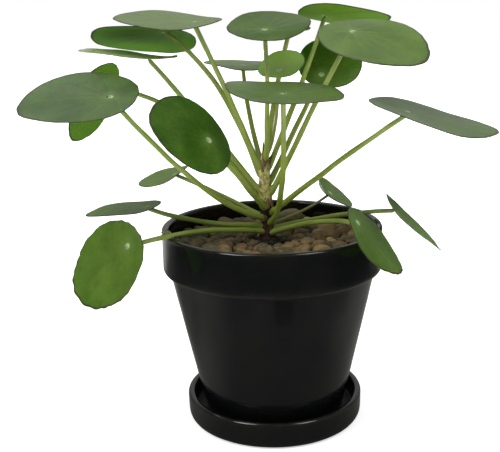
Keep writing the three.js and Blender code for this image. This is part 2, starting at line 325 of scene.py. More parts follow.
class Finish:
    """A material under construction: its node tree and its surface shader."""

    def __init__(self, name, **constants):
        self.material = bpy.data.materials.new(name)
        self.material.use_nodes = True
        self.tree = self.material.node_tree
        self.tree.nodes.clear()
        self.output = self.tree.nodes.new("ShaderNodeOutputMaterial")
        self.shader = self.tree.nodes.new("ShaderNodeBsdfPrincipled")
        self.show(Signal(self.shader.outputs[0]))
        for socket, value in constants.items():
            self.shader.inputs[socket.replace("_", " ")].default_value = value

    def show(self, shader):
        self.tree.links.new(shader.socket, self.output.inputs["Surface"])

    def link(self, socket, signal):
        self.tree.links.new(signal.socket, self.shader.inputs[socket])

    def node(self, kind, inputs=(), output=0, **settings):
        return add_node(self.tree, kind, inputs, output, **settings)

    def read(self, name, output="Fac"):
        """What add_values left at each point."""
        return self.node("Attribute", output=output, attribute_name=name)

    def split(self, vector):
        """The three numbers of a vector."""
        return [Signal(socket) for socket in self.node("SeparateXYZ", (vector,)).socket.node.outputs]

    def surface_map(self):
        """The piece's own map: how far round, and how far along or out."""
        return self.split(self.node("UVMap", uv_map="surface"))[:2]

    def where(self, stretch=(1, 1, 1)):
        return self.node("Mapping", {"Vector": self.node("TexCoord", output="Object"), "Scale": stretch})

    def noise(self, size_mm, detail=3.0, roughness=0.5, stretch=(1, 1, 1)):
        scale = 1 / (size_mm * MM)
        inputs = {"Vector": self.where(stretch), "Scale": scale, "Detail": detail, "Roughness": roughness}
        return self.node("TexNoise", inputs)

    def cells(self, size_mm, feature="DISTANCE_TO_EDGE"):
        inputs = {"Vector": self.where(), "Scale": 1 / (size_mm * MM)}
        return self.node("TexVoronoi", inputs, "Distance", feature=feature)

    def layers(self, base, *above):
        """A colour with others laid over it, each given as (share, colour)."""
        for share, colour in above:
            base = self.node("Mix", {0: share, 6: base, 7: colour}, 2, data_type="RGBA")
        return base

    def bump(self, height, distance_mm, strength):
        inputs = {"Strength": strength, "Distance": distance_mm * MM, "Height": height}
        self.link("Normal", self.node("Bump", inputs))

    def done(self, colour, roughness):
        self.link("Base Color", colour)
        self.link("Roughness", roughness)
        return self.material


# ---------------------------------------------------------------- finishes


def glaze_finish(looks):
    """Black gloss glaze: faint brown where it runs thin on the edges, slight ripples and pinholes."""
    finish = Finish("black_gloss_glaze", Specular_IOR_Level=0.45)
    thin = finish.read("edge") * finish.noise(5, 4).rise(0.3, 0.7, 0.25, 1.0)
    specks = finish.cells(3.1, "F1").rise(0.05, 0.14, 1.0, 0.0)
    colour = finish.layers(
        looks.glaze,
        (finish.noise(22, 4).rise(0.35, 0.7), looks.glaze_pool),
        (thin, looks.glaze_edge),
        (specks * 0.12, looks.glaze_speck),
    )
    gloss = looks.glaze_roughness
    film = finish.noise(38, 5, 0.6).rise(0.3, 0.75, gloss, gloss + 0.08)
    finish.bump(finish.noise(9, 2) + specks * -0.06, 0.16, 0.55)
    return finish.done(colour, film + finish.read("dust") * 0.45)


def soil_finish(looks):
    """Damp potting soil: near-black crumbs with paler fibres and grit."""
    finish = Finish("potting_soil", Specular_IOR_Level=0.3)
    clumps = finish.noise(4, 6, 0.65)
    grit = finish.cells(1.3, "F1").rise(0.1, 0.25, 1.0, 0.0)
    colour = finish.layers(
        looks.soil_dark, (clumps.rise(0.35, 0.7), looks.soil_light), (grit * 0.25, looks.soil_grit)
    )
    finish.bump(clumps + finish.noise(0.9, 5), 0.8, 0.9)
    return finish.done(colour, clumps.rise(0.3, 0.8, 0.95, 0.7))


def stone_finish(looks):
    """River pebbles: each its own earth colour, mottled, with faint bands and a worn skin."""
    finish = Finish("river_gravel", Specular_IOR_Level=0.4)
    own = finish.read("stone_colour", "Color")
    mottle = finish.noise(3.2, 5, 0.6)
    grain = finish.noise(0.5, 4, 0.6)
    band = finish.noise(2.4, 2, 0.5, (0.5, 0.8, 2.2))
    colour = finish.layers(
        finish.layers(own, (0.45, looks.stone_shade)),
        (mottle.rise(0.3, 0.7), finish.layers(own, (0.22, looks.stone_bloom))),
        (band.rise(0.58, 0.74, 0.0, 0.3), looks.stone_bloom),
        (grain.rise(0.62, 0.75, 0.0, 0.35), looks.stone_shade),
    )
    finish.bump(grain + mottle, 0.25, 0.6)
    return finish.done(colour, mottle.rise(0.25, 0.75, 0.5, 0.72))


def bark_finish(looks):
    """Trunk skin: red-brown and scaly at the foot, a pale green joint above, brown leaf scars."""
    finish = Finish("trunk_bark", Specular_IOR_Level=0.35)
    green = finish.read("green")
    flakes = finish.noise(1.6, 5, 0.65, (1, 1, 0.55))
    cracks = finish.cells(2.6).rise(0.0, 0.12, 0.7, 0.0)
    bark = finish.layers(looks.bark_dark, (flakes.rise(0.35, 0.68), looks.bark_red))
    bark = finish.layers(bark, (cracks, looks.bark_dark))
    young = finish.layers(
        looks.joint_green,
        (finish.noise(3, 4).rise(0.4, 0.62), looks.joint_tan),
        (finish.noise(2.1, 5, 0.6, (1, 1, 0.6)).rise(0.5, 0.62, 0.0, 0.85), looks.joint_brown),
        # Painted highlights: pale spots on the joint stand in for its highlights.
        (finish.noise(3.4, 3, 0.5).rise(0.55, 0.68, 0.0, 0.8), looks.joint_painted_highlight),
    )
    colour = finish.layers(
        bark,
        ((green + (flakes - 0.5) * 0.9).rise(0.35, 0.6), young),
        (finish.read("scar") * green.rise(0.2, 0.8, 0.8, 0.25), looks.bark_dark),
        # Painted shade: a band under the joint is painted nearly black, for the shade under the stalks and
        # scales.
        (finish.read("joint_shade_band") * 0.85, looks.painted_joint_shade),
    )
    finish.bump(flakes + finish.noise(0.5, 3), 0.5, 0.7)
    return finish.done(colour, green.rise(0.2, 0.8, 0.8, 0.5))


def scale_finish(looks):
    """Dry papery scale left round the growing tip: brown, ribbed, thin."""
    finish = Finish("papery_scale", Specular_IOR_Level=0.3)
    ribs = finish.noise(0.8, 4, 0.6, (1, 1, 0.2))
    fresh = (finish.read("fresh") - finish.noise(2.5, 4).rise(0.4, 0.65, 0.0, 0.6)).clamped()
    colour = finish.layers(
        looks.scale_dark, (ribs.rise(0.35, 0.65), looks.scale_light), (fresh, looks.joint_green)
    )
    finish.bump(ribs, 0.2, 0.7)
    return finish.done(colour, ribs.rise(0.3, 0.7, 0.65, 0.85))


def stalk_finish(looks):
    """Leaf stalk: pale yellow-green, streaked lengthwise, greener near the leaf, tanned at the joint."""
    finish = Finish(
        "leaf_stalk",
        Specular_IOR_Level=0.45,
        Subsurface_Weight=0.25,
        Subsurface_Scale=1.2 * MM,
        Subsurface_Radius=(0.8, 1.0, 0.3),
    )
    around, along = finish.surface_map()
    turn = around * (2 * math.pi)
    place = finish.node("CombineXYZ", (turn.math("SINE"), turn.math("COSINE"), along * 9.0))
    place = finish.node("VectorMath", (place, (4.0, 4.0, 1.0)), operation="MULTIPLY")
    streak = finish.node("TexNoise", {"Vector": place, "Scale": 1.0, "Detail": 4.0})
    colour = finish.layers(
        looks.stalk_base,
        (along.rise(0.35, 1.0), looks.stalk_tip),
        (streak.rise(0.35, 0.65, 0.0, 0.6), looks.stalk_streak),
        (finish.noise(14, 3).rise(0.35, 0.7, 0.0, 0.25), looks.stalk_pale),
        (along.rise(0.0, 0.09, 1.0, 0.0) * streak.rise(0.3, 0.7, 0.3, 0.9), looks.joint_tan),
        (finish.read("rust") * 0.8, looks.stalk_rust),
    )
    finish.bump(streak, 0.12, 0.5)
    return finish.done(colour, streak.rise(0.3, 0.7, 0.36, 0.5))


BLADE_VEINS = 9
# The two faces of a leaf: how strongly its main veins, side veins and the net between them show, how far
# the side veins and the net stand out, and how blurred the gloss is.
LEAF_FACES = {
    "upper": {"main": 0.06, "side": 0.03, "net": 0.02, "side_out": -0.35, "net_out": -0.15, "blur": 0.3},
    "under": {"main": 0.16, "side": 0.08, "net": 0.05, "side_out": 0.6, "net_out": 0.35, "blur": 0.48},
}


def leaf_finish(looks, name, face, gloss, sheen=0.0):
    """One face of a leaf: veins that fan from the stalk, a pale dot over it, a thin rim and a waxy skin."""
    finish = Finish(
        name,
        Specular_IOR_Level=gloss,
        Subsurface_Weight=0.6,
        Subsurface_Scale=2 * MM,
        Subsurface_Radius=(0.5, 1.0, 0.1),
        Sheen_Weight=sheen,
        Sheen_Roughness=0.45,
    )
    shows = LEAF_FACES[face]
    deep, light, vein = (getattr(looks, f"{face}_{tone}") for tone in ("deep", "light", "vein"))
    around, share = finish.surface_map()
    reach = finish.read("reach")
    # How far the nearest main vein lies: first as a share of the gap between two veins, then in millimetres.
    offset = abs((around * BLADE_VEINS + 0.5).math("FRACT") - 0.5)
    distance = offset * (2 * math.pi / BLADE_VEINS) * reach
    main = (distance / share.rise(0.0, 1.0, 0.75, 0.3)).rise(0.15, 1.0, 1.0, 0.0)
    chevron = share * 7.0 - offset * 4.2 + (finish.noise(7, 3) - 0.5) * 0.9
    side = abs(chevron.math("FRACT") - 0.5).rise(0.02, 0.1, 1.0, 0.0)
    net = finish.cells(2.3).rise(0.0, 0.09, 1.0, 0.0)
    blotch = finish.noise(16, 4, 0.55)
    fine = finish.noise(2.2, 4, 0.6)
    # The tone holds each leaf's own green and, for some leaves, painted light and shade.
    tone = finish.read("tone") + blotch.rise(0.3, 0.7, -0.06, 0.06) + fine.rise(0.3, 0.7, -0.025, 0.025)
    strength = share.rise(0.2, 0.95, 1.0, 0.35) * shows["main"] * finish.read("veined")
    colour = finish.layers(
        deep,
        (tone.clamped(), light),
        (net * shows["net"], vein),
        (side * shows["side"], vein),
        (main * strength, vein),
        (reach.rise(1.5, 8.0, 0.22, 0.0), vein),
        (reach.rise(looks.dot_radius * 0.35, looks.dot_radius, 0.9, 0.0), looks.leaf_dot),
        (share.rise(0.955, 0.98, 0.0, 0.85), looks.leaf_rim),
        # Dry spots and torn edges, and painted sheen paled over some whole leaves.
        (finish.read("blemish"), looks.leaf_dry_and_sheen),
    )
    finish.bump(side * shows["side_out"] + net * shows["net_out"] + fine * 0.5, 0.14, 0.16)
    return finish.done(colour, blotch.rise(0.25, 0.75, shows["blur"], shows["blur"] + 0.12))


def floor_finish(looks):
    """Matt pale board. It glows a little far from the pot, and the glaze mirrors a painted reflection of it:
    dim and patchy, brighter near and behind the pot.
    """
    finish = Finish("pale_board", Specular_IOR_Level=0.0, Emission_Color=(1, 1, 1, 1))
    place = finish.where()
    distance = finish.node("VectorMath", (place,), "Value", operation="LENGTH")
    finish.link("Emission Strength", distance.rise(0.15, 1.0, looks.floor_glow, 1.0))
    tint = finish.layers(looks.floor, (finish.noise(60, 3).rise(0.3, 0.7), looks.floor_shade))
    board = finish.done(tint, finish.noise(3, 2).rise(0.3, 0.7, 0.85, 0.95))
    x, y, _ = finish.split(place)
    # Painted reflection: a dark patch before the pot, which shows only in the glaze.
    painted_dark_reflection = abs(x - 0.028).rise(0.016, 0.03, 0.7, 0.0) * abs(y + 0.147).rise(0.008, 0.02, 1.0, 0.0)
    # Painted reflection: the board's colour as only the glaze mirrors it.
    shade = finish.layers(
        looks.mirror_paint_far,
        (distance.rise(0.17, 0.4, 1.0, 0.0), looks.mirror_paint_near),
        (y.rise(0.08, 0.4), looks.mirror_paint_behind),
        (painted_dark_reflection, (0.0, 0.0, 0.0)),
        (finish.noise(260, 2, 0.5).rise(0.4, 0.62) * 0.6, (0.02, 0.02, 0.02)),
    )
    painted_mirror_image = finish.node("BsdfDiffuse", {"Color": shade})
    mirrored = finish.node("LightPath", output="Is Glossy Ray")
    finish.show(finish.node("MixShader", (mirrored, Signal(finish.shader.outputs[0]), painted_mirror_image)))
    return board


def make_materials(looks):
    MATERIALS["glaze"] = glaze_finish(looks)
    MATERIALS["soil"] = soil_finish(looks)
    MATERIALS["stone"] = stone_finish(looks)
    MATERIALS["bark"] = bark_finish(looks)
    MATERIALS["scale"] = scale_finish(looks)
    MATERIALS["stalk"] = stalk_finish(looks)
    MATERIALS["leaf_waxy"] = leaf_finish(looks, "leaf_waxy_face", "upper", 0.5, sheen=0.06)
    MATERIALS["leaf_soft"] = leaf_finish(looks, "leaf_soft_face", "upper", 0.22)
    MATERIALS["leaf_under"] = leaf_finish(looks, "leaf_under_face", "under", 0.05)
    MATERIALS["floor"] = floor_finish(looks)


# ---------------------------------------------------------------- sizes and colours that a user may change


def size_property(name, description, default):
    return FloatProperty(name=name, description=description, default=default)


def level_property(name, description, default, least=0.0):
    return FloatProperty(name=name, description=description, default=default, min=least)


def colour_property(name, description, default):
    limits = {"size": 3, "min": 0, "max": 1}
    return FloatVectorProperty(name=name, description=description, default=default, subtype="COLOR", **limits)


POT_LOW, POT_HIGH = node_box("pot")
SAUCER_HIGH = node_box("saucer")[1]
SOIL_LOW, SOIL_HIGH = node_box("soil")
TRUNK_LOW, TRUNK_HIGH = node_box("trunk")


class PileaPotSizes(bpy.types.PropertyGroup):
    """Sizes of the pot and the saucer, in millimetres."""

    rim_radius: size_property("Rim radius", "Outside radius of the rim band", POT_HIGH[0])
    lip_height: size_property("Lip height", "Height of the pot's lip", POT_HIGH[2])
    foot_height: size_property("Foot height", "Height of the pot's underside", POT_LOW[2])
    band_bottom: size_property("Band bottom", "Height of the rim band's lower edge", 95.2)
    band_step: size_property("Band step", "How far the rim band stands out", 3.8)
    base_radius: size_property("Base radius", "Outside radius at the foot", 42.3)
    wall: size_property("Wall", "Thickness of the pot's wall", 4.5)
    floor: size_property("Floor", "Thickness of the pot's floor", 6.0)
    drain_radius: size_property("Drain hole", "Radius of the drain hole", 6.0)
    saucer_radius: size_property("Saucer radius", "Outside radius of the saucer's lip", SAUCER_HIGH[0])
    saucer_height: size_property("Saucer height", "Height of the saucer's lip", SAUCER_HIGH[2])
    saucer_lean: size_property("Saucer lean", "How far the saucer's wall leans out", 0.4)
    saucer_foot: size_property("Saucer foot", "Rounding between the saucer's underside and its wall", 5.5)
    saucer_wall: size_property("Saucer wall", "Thickness of the saucer's wall", 4.2)
    saucer_floor: size_property("Saucer floor", "Height of the saucer's inner floor", 5.0)
    sides: IntProperty(
        name="Sides", description="Facets round the pot and the saucer", default=192, min=24
    )


class PileaPlantSizes(bpy.types.PropertyGroup):
    """Sizes of the plant and of what fills the pot, in millimetres."""

    stalk_base: size_property("Stalk base", "Radius of a stalk near the trunk", 1.72)
    stalk_tip: size_property("Stalk tip", "Radius of a stalk under its leaf", 1.27)
    stalk_flare: size_property("Stalk flare", "How much a stalk widens where it joins", 0.3)
    blade_thickness: size_property("Leaf thickness", "Thickness of a leaf at its middle", 1.0)
    blade_margin: size_property("Leaf margin", "Thickness of a leaf near its edge", 0.55)
    vein_depth: size_property("Vein depth", "How deep the main veins lie in a leaf", 0.05)
    quilting: size_property("Quilting", "How much a leaf rises between its veins", 0.06)
    bed_top: size_property("Gravel bed", "Height of the sand between the pebbles", 109.7)


class PileaLooks(bpy.types.PropertyGroup):
    """Colours and surface values."""

    glaze: colour_property("Glaze", "Black glaze", (0.0042, 0.0048, 0.0042))
    glaze_pool: colour_property("Glaze pool", "Glaze where it lies thick", (0.0028, 0.0034, 0.0034))
    glaze_edge: colour_property("Glaze edge", "Glaze where it runs thin", (0.011, 0.01, 0.008))
    glaze_speck: colour_property("Glaze speck", "Pinholes in the glaze", (0.03, 0.03, 0.027))
    glaze_roughness: FloatProperty(
        name="Glaze roughness", description="How blurred the gloss is", default=0.05, min=0, max=1
    )
    soil_dark: colour_property("Soil", "Damp soil", (0.012, 0.009, 0.006))
    soil_light: colour_property("Dry soil", "Soil crumbs", (0.045, 0.032, 0.02))
    soil_grit: colour_property("Grit", "Grains in the soil", (0.13, 0.11, 0.08))
    stone_shade: colour_property("Stone shade", "Dark mottling of the pebbles", (0.05, 0.033, 0.016))
    stone_bloom: colour_property("Stone bloom", "Pale mottling of the pebbles", (0.45, 0.33, 0.17))
    bark_dark: colour_property("Dark bark", "Dark scales of the trunk", (0.022, 0.012, 0.009))
    bark_red: colour_property("Red bark", "Red-brown bark", (0.11, 0.05, 0.03))
    joint_green: colour_property("Joint green", "Pale green joint of the trunk", (0.56, 0.56, 0.19))
    # Painted highlights: pale spots on the joint.
    joint_painted_highlight: colour_property("Joint pale", "Pale bloom on the joint", (0.8, 0.78, 0.45))
    joint_brown: colour_property("Joint brown", "Brown blotches beside the joint", (0.16, 0.09, 0.03))
    # Painted shade under the joint, for the shade below the stalks and scales.
    painted_joint_shade: colour_property("Bark gap", "Nearly black skin under the joint", (0.008, 0.007, 0.006))
    joint_tan: colour_property("Joint tan", "Tan skin beside the joint", (0.3, 0.22, 0.06))
    stalk_base: colour_property("Stalk base", "Stalk near the trunk", (0.27, 0.35, 0.045))
    stalk_tip: colour_property("Stalk tip", "Stalk near its leaf", (0.235, 0.305, 0.08))
    stalk_streak: colour_property("Stalk streak", "Darker streaks along the stalks", (0.14, 0.21, 0.02))
    stalk_pale: colour_property("Stalk pale", "Pale parts of the stalks", (0.42, 0.47, 0.16))
    stalk_rust: colour_property("Stalk rust", "Reddened stalks", (0.25, 0.17, 0.1))
    upper_deep: colour_property("Leaf deep", "Darkest green of the upper face", (0.022, 0.062, 0.004))
    upper_light: colour_property("Leaf light", "Lightest green of the upper face", (0.27, 0.4, 0.045))
    upper_vein: colour_property("Leaf vein", "Veins of the upper face", (0.16, 0.27, 0.07))
    leaf_dot: colour_property("Leaf dot", "Dot over the stalk", (0.5, 0.62, 0.32))
    leaf_rim: colour_property("Leaf rim", "Thin edge of the leaf", (0.035, 0.026, 0.014))
    # Also paled over some whole leaves as painted sheen.
    leaf_dry_and_sheen: colour_property("Leaf dry", "Dry, pale spots and torn edges", (0.5, 0.5, 0.38))
    dot_radius: level_property("Dot radius", "Radius of the pale dot, in millimetres", 2.3, least=0.1)
    under_deep: colour_property("Under deep", "Darkest green of the under face", (0.045, 0.135, 0.004))
    under_light: colour_property("Under light", "Lightest green of the under face", (0.15, 0.29, 0.01))
    under_vein: colour_property("Under vein", "Veins of the under face", (0.19, 0.33, 0.05))
    scale_dark: colour_property("Scale dark", "Dark ribs of the papery scales", (0.06, 0.03, 0.015))
    scale_light: colour_property("Scale light", "Pale ribs of the papery scales", (0.26, 0.18, 0.07))
    floor: colour_property("Floor", "Board under the pot", (0.93, 0.93, 0.93))
    floor_shade: colour_property("Floor shade", "Cloudy parts of the board", (0.91, 0.91, 0.91))
    # Painted reflections: the board's colours as the glaze mirrors them.
    mirror_paint_near: colour_property(
        "Near mirror image", "Board near the pot as the glaze mirrors it", (0.3, 0.3, 0.28)
    )
    mirror_paint_far: colour_property(
        "Far mirror image", "Board before the pot as the glaze mirrors it", (0.035, 0.037, 0.037)
    )
    mirror_paint_behind: colour_property(
        "Back mirror image", "Board behind the pot as the glaze mirrors it", (0.7, 0.7, 0.68)
    )
    floor_glow: level_property("Floor glow", "Evens out the shadows on the board", 0.55)


class PileaStage(bpy.types.PropertyGroup):
    """Camera and light."""

    lens: FloatProperty(name="Lens", description="Focal length", default=62.5, min=10, unit="CAMERA")
    overhead: level_property("Overhead light", "Strength of the wide light from above", 0.9)
    left_window: level_property("Left window", "Brightness of the soft light at the left", 10.0)
    right_window: level_property("Right window", "Brightness of the soft light at the right", 7.5)
    room_strength: level_property("Room", "Brightness of the room round the plant", 0.4)
    mirrored_room: level_property("Mirrored room", "Brightness of the room that the glaze mirrors", 0.17)
    white_backdrop: BoolProperty(
        name="White backdrop", description="Show plain white behind the plant", default=True
    )


# ---------------------------------------------------------------- pot and saucer

PROFILE_STEP = 3.0  # longest stretch of a turned profile
LEDGE = 6.0  # height of the slope inside the pot, behind the band's lower edge
BEVEL = 1.0  # of the drain hole's edges
AXIS_RADIUS = 0.5  # the saucer's profile stops this short of the middle


def turned_vessel(node, corners, edges, sides, wobble, seed, dust=(0, 0)):
    """A glazed vessel turned from a closed profile, slightly uneven as thrown clay is.

    corners are those of rounded. edges holds the radius, height and reach of each edge where the glaze
    runs thin, and dust says how far out and how high dull dust lies.
    """
    profile = refined(rounded(corners), PROFILE_STEP)
    points = turned_points(profile, sides)
    height = points[:, 2]
    radius = np.hypot(points[:, 0], points[:, 1])
    uneven = noises(points, (wobble, 34, seed), (0.4 * wobble, 12, seed + 1))
    ring = 0.25 * wobble * noise_along(height, 2.6, seed + 2)
    inner = np.clip(radius / 20, 0, 1)
    points[:, :2] *= (1 + (uneven + ring - 1.6 * wobble) * inner / np.maximum(radius, 1))[:, None]
    faces = grid_faces(len(profile), sides, closed=True)
    piece = make_piece(f"{node}_glazed", points, faces, ["glaze"], "glaze", [node])
    worn = [np.exp(-((radius - r) ** 2 + (height - h) ** 2) / reach**2) for r, h, reach in edges]
    dusty = (radius < dust[0]) & (height > 0.5) & (height < dust[1])
    add_values(piece, edge=np.max(worn, axis=0), dust=dusty)


class PILEA_OT_pot(bpy.types.Operator):
    """Add the glazed pot with its rim band"""

    bl_idname = "pilea.pot"
    bl_label = "Pot"

    def execute(self, context):
        size = context.scene.pilea_pot
        top, foot, rim, band = size.lip_height, size.foot_height, size.rim_radius, size.band_bottom
        floor, drain = foot + size.floor, size.drain_radius
        cone_top = rim - size.band_step
        inside_rim = rim - size.wall

        def cone(height):
            return size.base_radius + (cone_top - size.base_radius) * (height - foot) / (band - foot)

        def inside(height):
            return min(cone(height) - size.wall, inside_rim)

        # From the drain hole out and up the outside, over the lip and down the inside.
        corners = [
            (drain, foot + BEVEL, 0),
            (drain + BEVEL, foot, 0),
            (cone(foot), foot, 1.6),
            (cone_top, band, 1.6),
            (rim, band, 2.4),
            (rim, top, 1.8),
            (inside_rim, top, 2.4),
            (inside_rim, band + LEDGE, 2),
            (inside(band), band, 2),
            (inside(floor), floor, 5),
            (drain + BEVEL, floor, 0),
            (drain, floor - BEVEL, 0),
        ]
        edges = [(rim - 1, top - 0.6, 1.5), (rim - 0.6, band + 0.6, 1.4), (cone(foot), foot + 0.6, 1.2)]
        turned_vessel("pot", corners, edges, size.sides, wobble=0.14, seed=11)
        return {"FINISHED"}


class PILEA_OT_saucer(bpy.types.Operator):
    """Add the glazed saucer under the pot"""

    bl_idname = "pilea.saucer"
    bl_label = "Saucer"

    def execute(self, context):
        size = context.scene.pilea_pot
        lip, height, wall, floor = size.saucer_radius, size.saucer_height, size.saucer_wall, size.saucer_floor
        foot = lip - size.saucer_lean
        corners = [
            (AXIS_RADIUS, 0, 0),
            (foot, 0, size.saucer_foot),
            (lip, height, 2.4),
            (lip - wall, height, 2.4),
            (foot - wall, floor, 2.2),
            (AXIS_RADIUS, floor, 0),
        ]
        edges, dust = [(lip - 1, height - 0.6, 1.6)], (lip - wall + 0.8, height - 1.5)
        turned_vessel("saucer", corners, edges, size.sides, wobble=0.1, seed=21, dust=dust)
        return {"FINISHED"}


# ---------------------------------------------------------------- soil and gravel

REACH = SOIL_HIGH[0]  # radius of the soil's top
EYE_RADIUS = 12.5  # bare soil left round the trunk
MOUND = 2.2  # the soil rises this much towards the trunk
SOIL_LEVEL = SOIL_HIGH[2] - MOUND
SOIL_SIDES = 144
SOIL_MIDDLE = 0.3  # the soil's profile stops this short of the middle
SOIL_STEP = 1.2  # between the rings of its top
CRUMBS = 260

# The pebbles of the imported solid: the rule and its numbers are the same there.
PEBBLES, PEBBLE_SEED = 104, 20
PEBBLE_HALF = (3.9, 7.0)  # smallest and largest half length
SMALL_NEAR_TRUNK = 18  # the largest pebbles lie at least this far outside the eye
ROCK = (12, 33, 3.5), (8.8, 6.5, 8), 0.3  # its place and rise, its half sizes and its turn

SMALL_STONES, SMALL_HALF = 330, (2.0, 3.9)
STONE_COLOURS = [  # earth colours of the pebbles, and how common each is
    ((0.36, 0.22, 0.08), 4),  # tan
    ((0.42, 0.25, 0.07), 3),  # ochre
    ((0.22, 0.125, 0.045), 4),  # brown
    ((0.21, 0.085, 0.035), 1.5),  # red-brown
    ((0.13, 0.12, 0.05), 4),  # grey-olive
    ((0.5, 0.36, 0.17), 1.5),  # cream
    ((0.075, 0.052, 0.027), 3),  # dark brown
]
ROCK_COLOUR = np.array([0.16, 0.135, 0.065])

# Loose root threads: where each starts and ends, how far its middle is lifted, its radius, how pale it is.
THREADS = [
    ((-64, -16, 119.5), (-54, -25, 118), 3.0, 0.3, 0.9),
    ((-63, -20, 120), (-59, -6, 115), 1.2, 0.28, 0.9),
    ((-62, -9, 120.5), (-56, -17, 114), 1.5, 0.25, 0.7),
    ((-65, -11, 119), (-60, -25, 120.5), 1.6, 0.3, 1.0),
    ((-58, -12, 113), (-50, -22, 112.5), 1.2, 0.25, 0.6),
    ((-24, -6, 112), (-11, 1, 114.5), 2.0, 0.32, 0.0),
    ((-18, -9, 112.5), (-12, 4, 114), 1.0, 0.25, 0.0),
    ((-34, 10, 113.5), (-30, 12, 114.5), 0.5, 0.6, 1.0),
    ((-37, 6, 113), (-33, 7, 113.5), 0.4, 0.5, 1.0),
]


def soil_height(radius):
    """Height of the soil's top at a distance from the pot's middle."""
    return SOIL_LEVEL + MOUND * (1 - step_between(radius, 7, 12.5))


class PILEA_OT_soil(bpy.types.Operator):
    """Add the soil, with loose crumbs round the trunk"""

    bl_idname = "pilea.soil"
    bl_label = "Soil"

    def execute(self, context):
        size = context.scene.pilea_pot
        low, band = SOIL_LOW[2], size.band_bottom
        foot = size.base_radius - size.wall - 2.5
        shoulder = size.rim_radius - size.band_step - size.wall - 0.4
        outline = [(SOIL_MIDDLE, low), (foot, low), (shoulder, band), (REACH, band + LEDGE)]
        radii = np.arange(REACH - SOIL_STEP, SOIL_MIDDLE, -SOIL_STEP)
        tops = np.stack([radii, soil_height(radii)], -1)
        profile = np.vstack([outline, (REACH, SOIL_LEVEL), tops, (SOIL_MIDDLE, SOIL_HIGH[2])])
        points = turned_points(profile, SOIL_SIDES)
        rough = noises(points, (0.8, 5, 31), (0.5, 2.2, 32), (0.3, 1.1, 33))
        points[:, 2] += np.where(points[:, 2] > SOIL_LEVEL - 0.1, rough - 0.5, 0)
        faces = grid_faces(len(profile), SOIL_SIDES, closed=True)
        make_piece("soil_surface", points, faces, ["soil"], "soil", ["soil"])
        make_piece("soil_crumbs", *fused(self.crumbs()), ["soil"], "soil")
        return {"FINISHED"}

    def crumbs(self):
        """Points and faces of each loose crumb."""
        chance = np.random.default_rng(7)
        ball_points, ball_faces = ball(2)
        for i in range(CRUMBS):
            spread = EYE_RADIUS * 1.25 * math.sqrt(chance.random())
            bearing = chance.random() * 2 * math.pi
            half = 0.5 + 1.3 * chance.random() ** 2
            stretch = half * np.array([1.0, 0.6 + 0.4 * chance.random(), 0.5 + 0.4 * chance.random()])
            lump = 1 + 0.3 * smooth_noise(ball_points + 7 * i, 0.8, 40)
            turn = chance.random() * math.pi
            cos, sin = math.cos(turn), math.sin(turn)
            spin = np.array([[cos, -sin, 0], [sin, cos, 0], [0, 0, 1]])
            rest = float(soil_height(spread)) + 0.15 * half
            centre = np.array([spread * math.cos(bearing), spread * math.sin(bearing), rest])
            yield ball_points * lump[:, None] * stretch @ spin.T + centre, ball_faces


def placing_numbers(seed):
    """The seeded numbers from 0 to 1 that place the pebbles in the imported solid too."""
    state = seed
    while True:
        state = (state * 1664525 + 1013904223) % 4294967296
        yield state / 4294967296


def pebble_places(bed_top):
    """Centre, half sizes and turn of every large pebble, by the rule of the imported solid."""
    numbers = placing_numbers(PEBBLE_SEED)
    smallest, largest = PEBBLE_HALF
    for i in range(math.ceil(PEBBLES * (EYE_RADIUS / REACH) ** 2), PEBBLES):
        spread = math.sqrt((i + 0.5) / PEBBLES) * REACH
        limit = smallest + (largest - smallest) * min(1, (spread - EYE_RADIUS) / SMALL_NEAR_TRUNK)
        half = smallest + (limit - smallest) * next(numbers) ** 1.5
        width = half * (0.72 + 0.23 * next(numbers))
        height = half * (0.59 + 0.22 * next(numbers))
        distance = min(max(spread, EYE_RADIUS + half), REACH - half)
        bearing = i * GOLDEN_ANGLE + (next(numbers) - 0.5) * (1.6 / distance)
        centre = (distance * math.cos(bearing), distance * math.sin(bearing), bed_top - height * 0.1)
        yield centre, (half, width, height), next(numbers) * math.pi
    (x, y, rise), half, turn = ROCK
    yield (x, y, bed_top + rise), half, turn


def small_stone_places(bed_top):
    """Centre, half sizes and turn of every small stone between the pebbles."""
    chance = np.random.default_rng(9)
    smallest, largest = SMALL_HALF
    for i in range(math.ceil(SMALL_STONES * (EYE_RADIUS / REACH) ** 2) - 6, SMALL_STONES):
        half = smallest + (largest - smallest) * chance.random()
        spread = min(math.sqrt((i + 0.5) / SMALL_STONES) * REACH, REACH - half)
        bearing = i * GOLDEN_ANGLE + 0.5 + (chance.random() - 0.5) * 3 / spread
        height = half * (0.6 + 0.25 * chance.random())
        lift = bed_top - 1.3 + 1.2 * chance.random()
        centre = (spread * math.cos(bearing), spread * math.sin(bearing), lift)
        yield centre, (half, half * (0.7 + 0.25 * chance.random()), height), chance.random() * math.pi


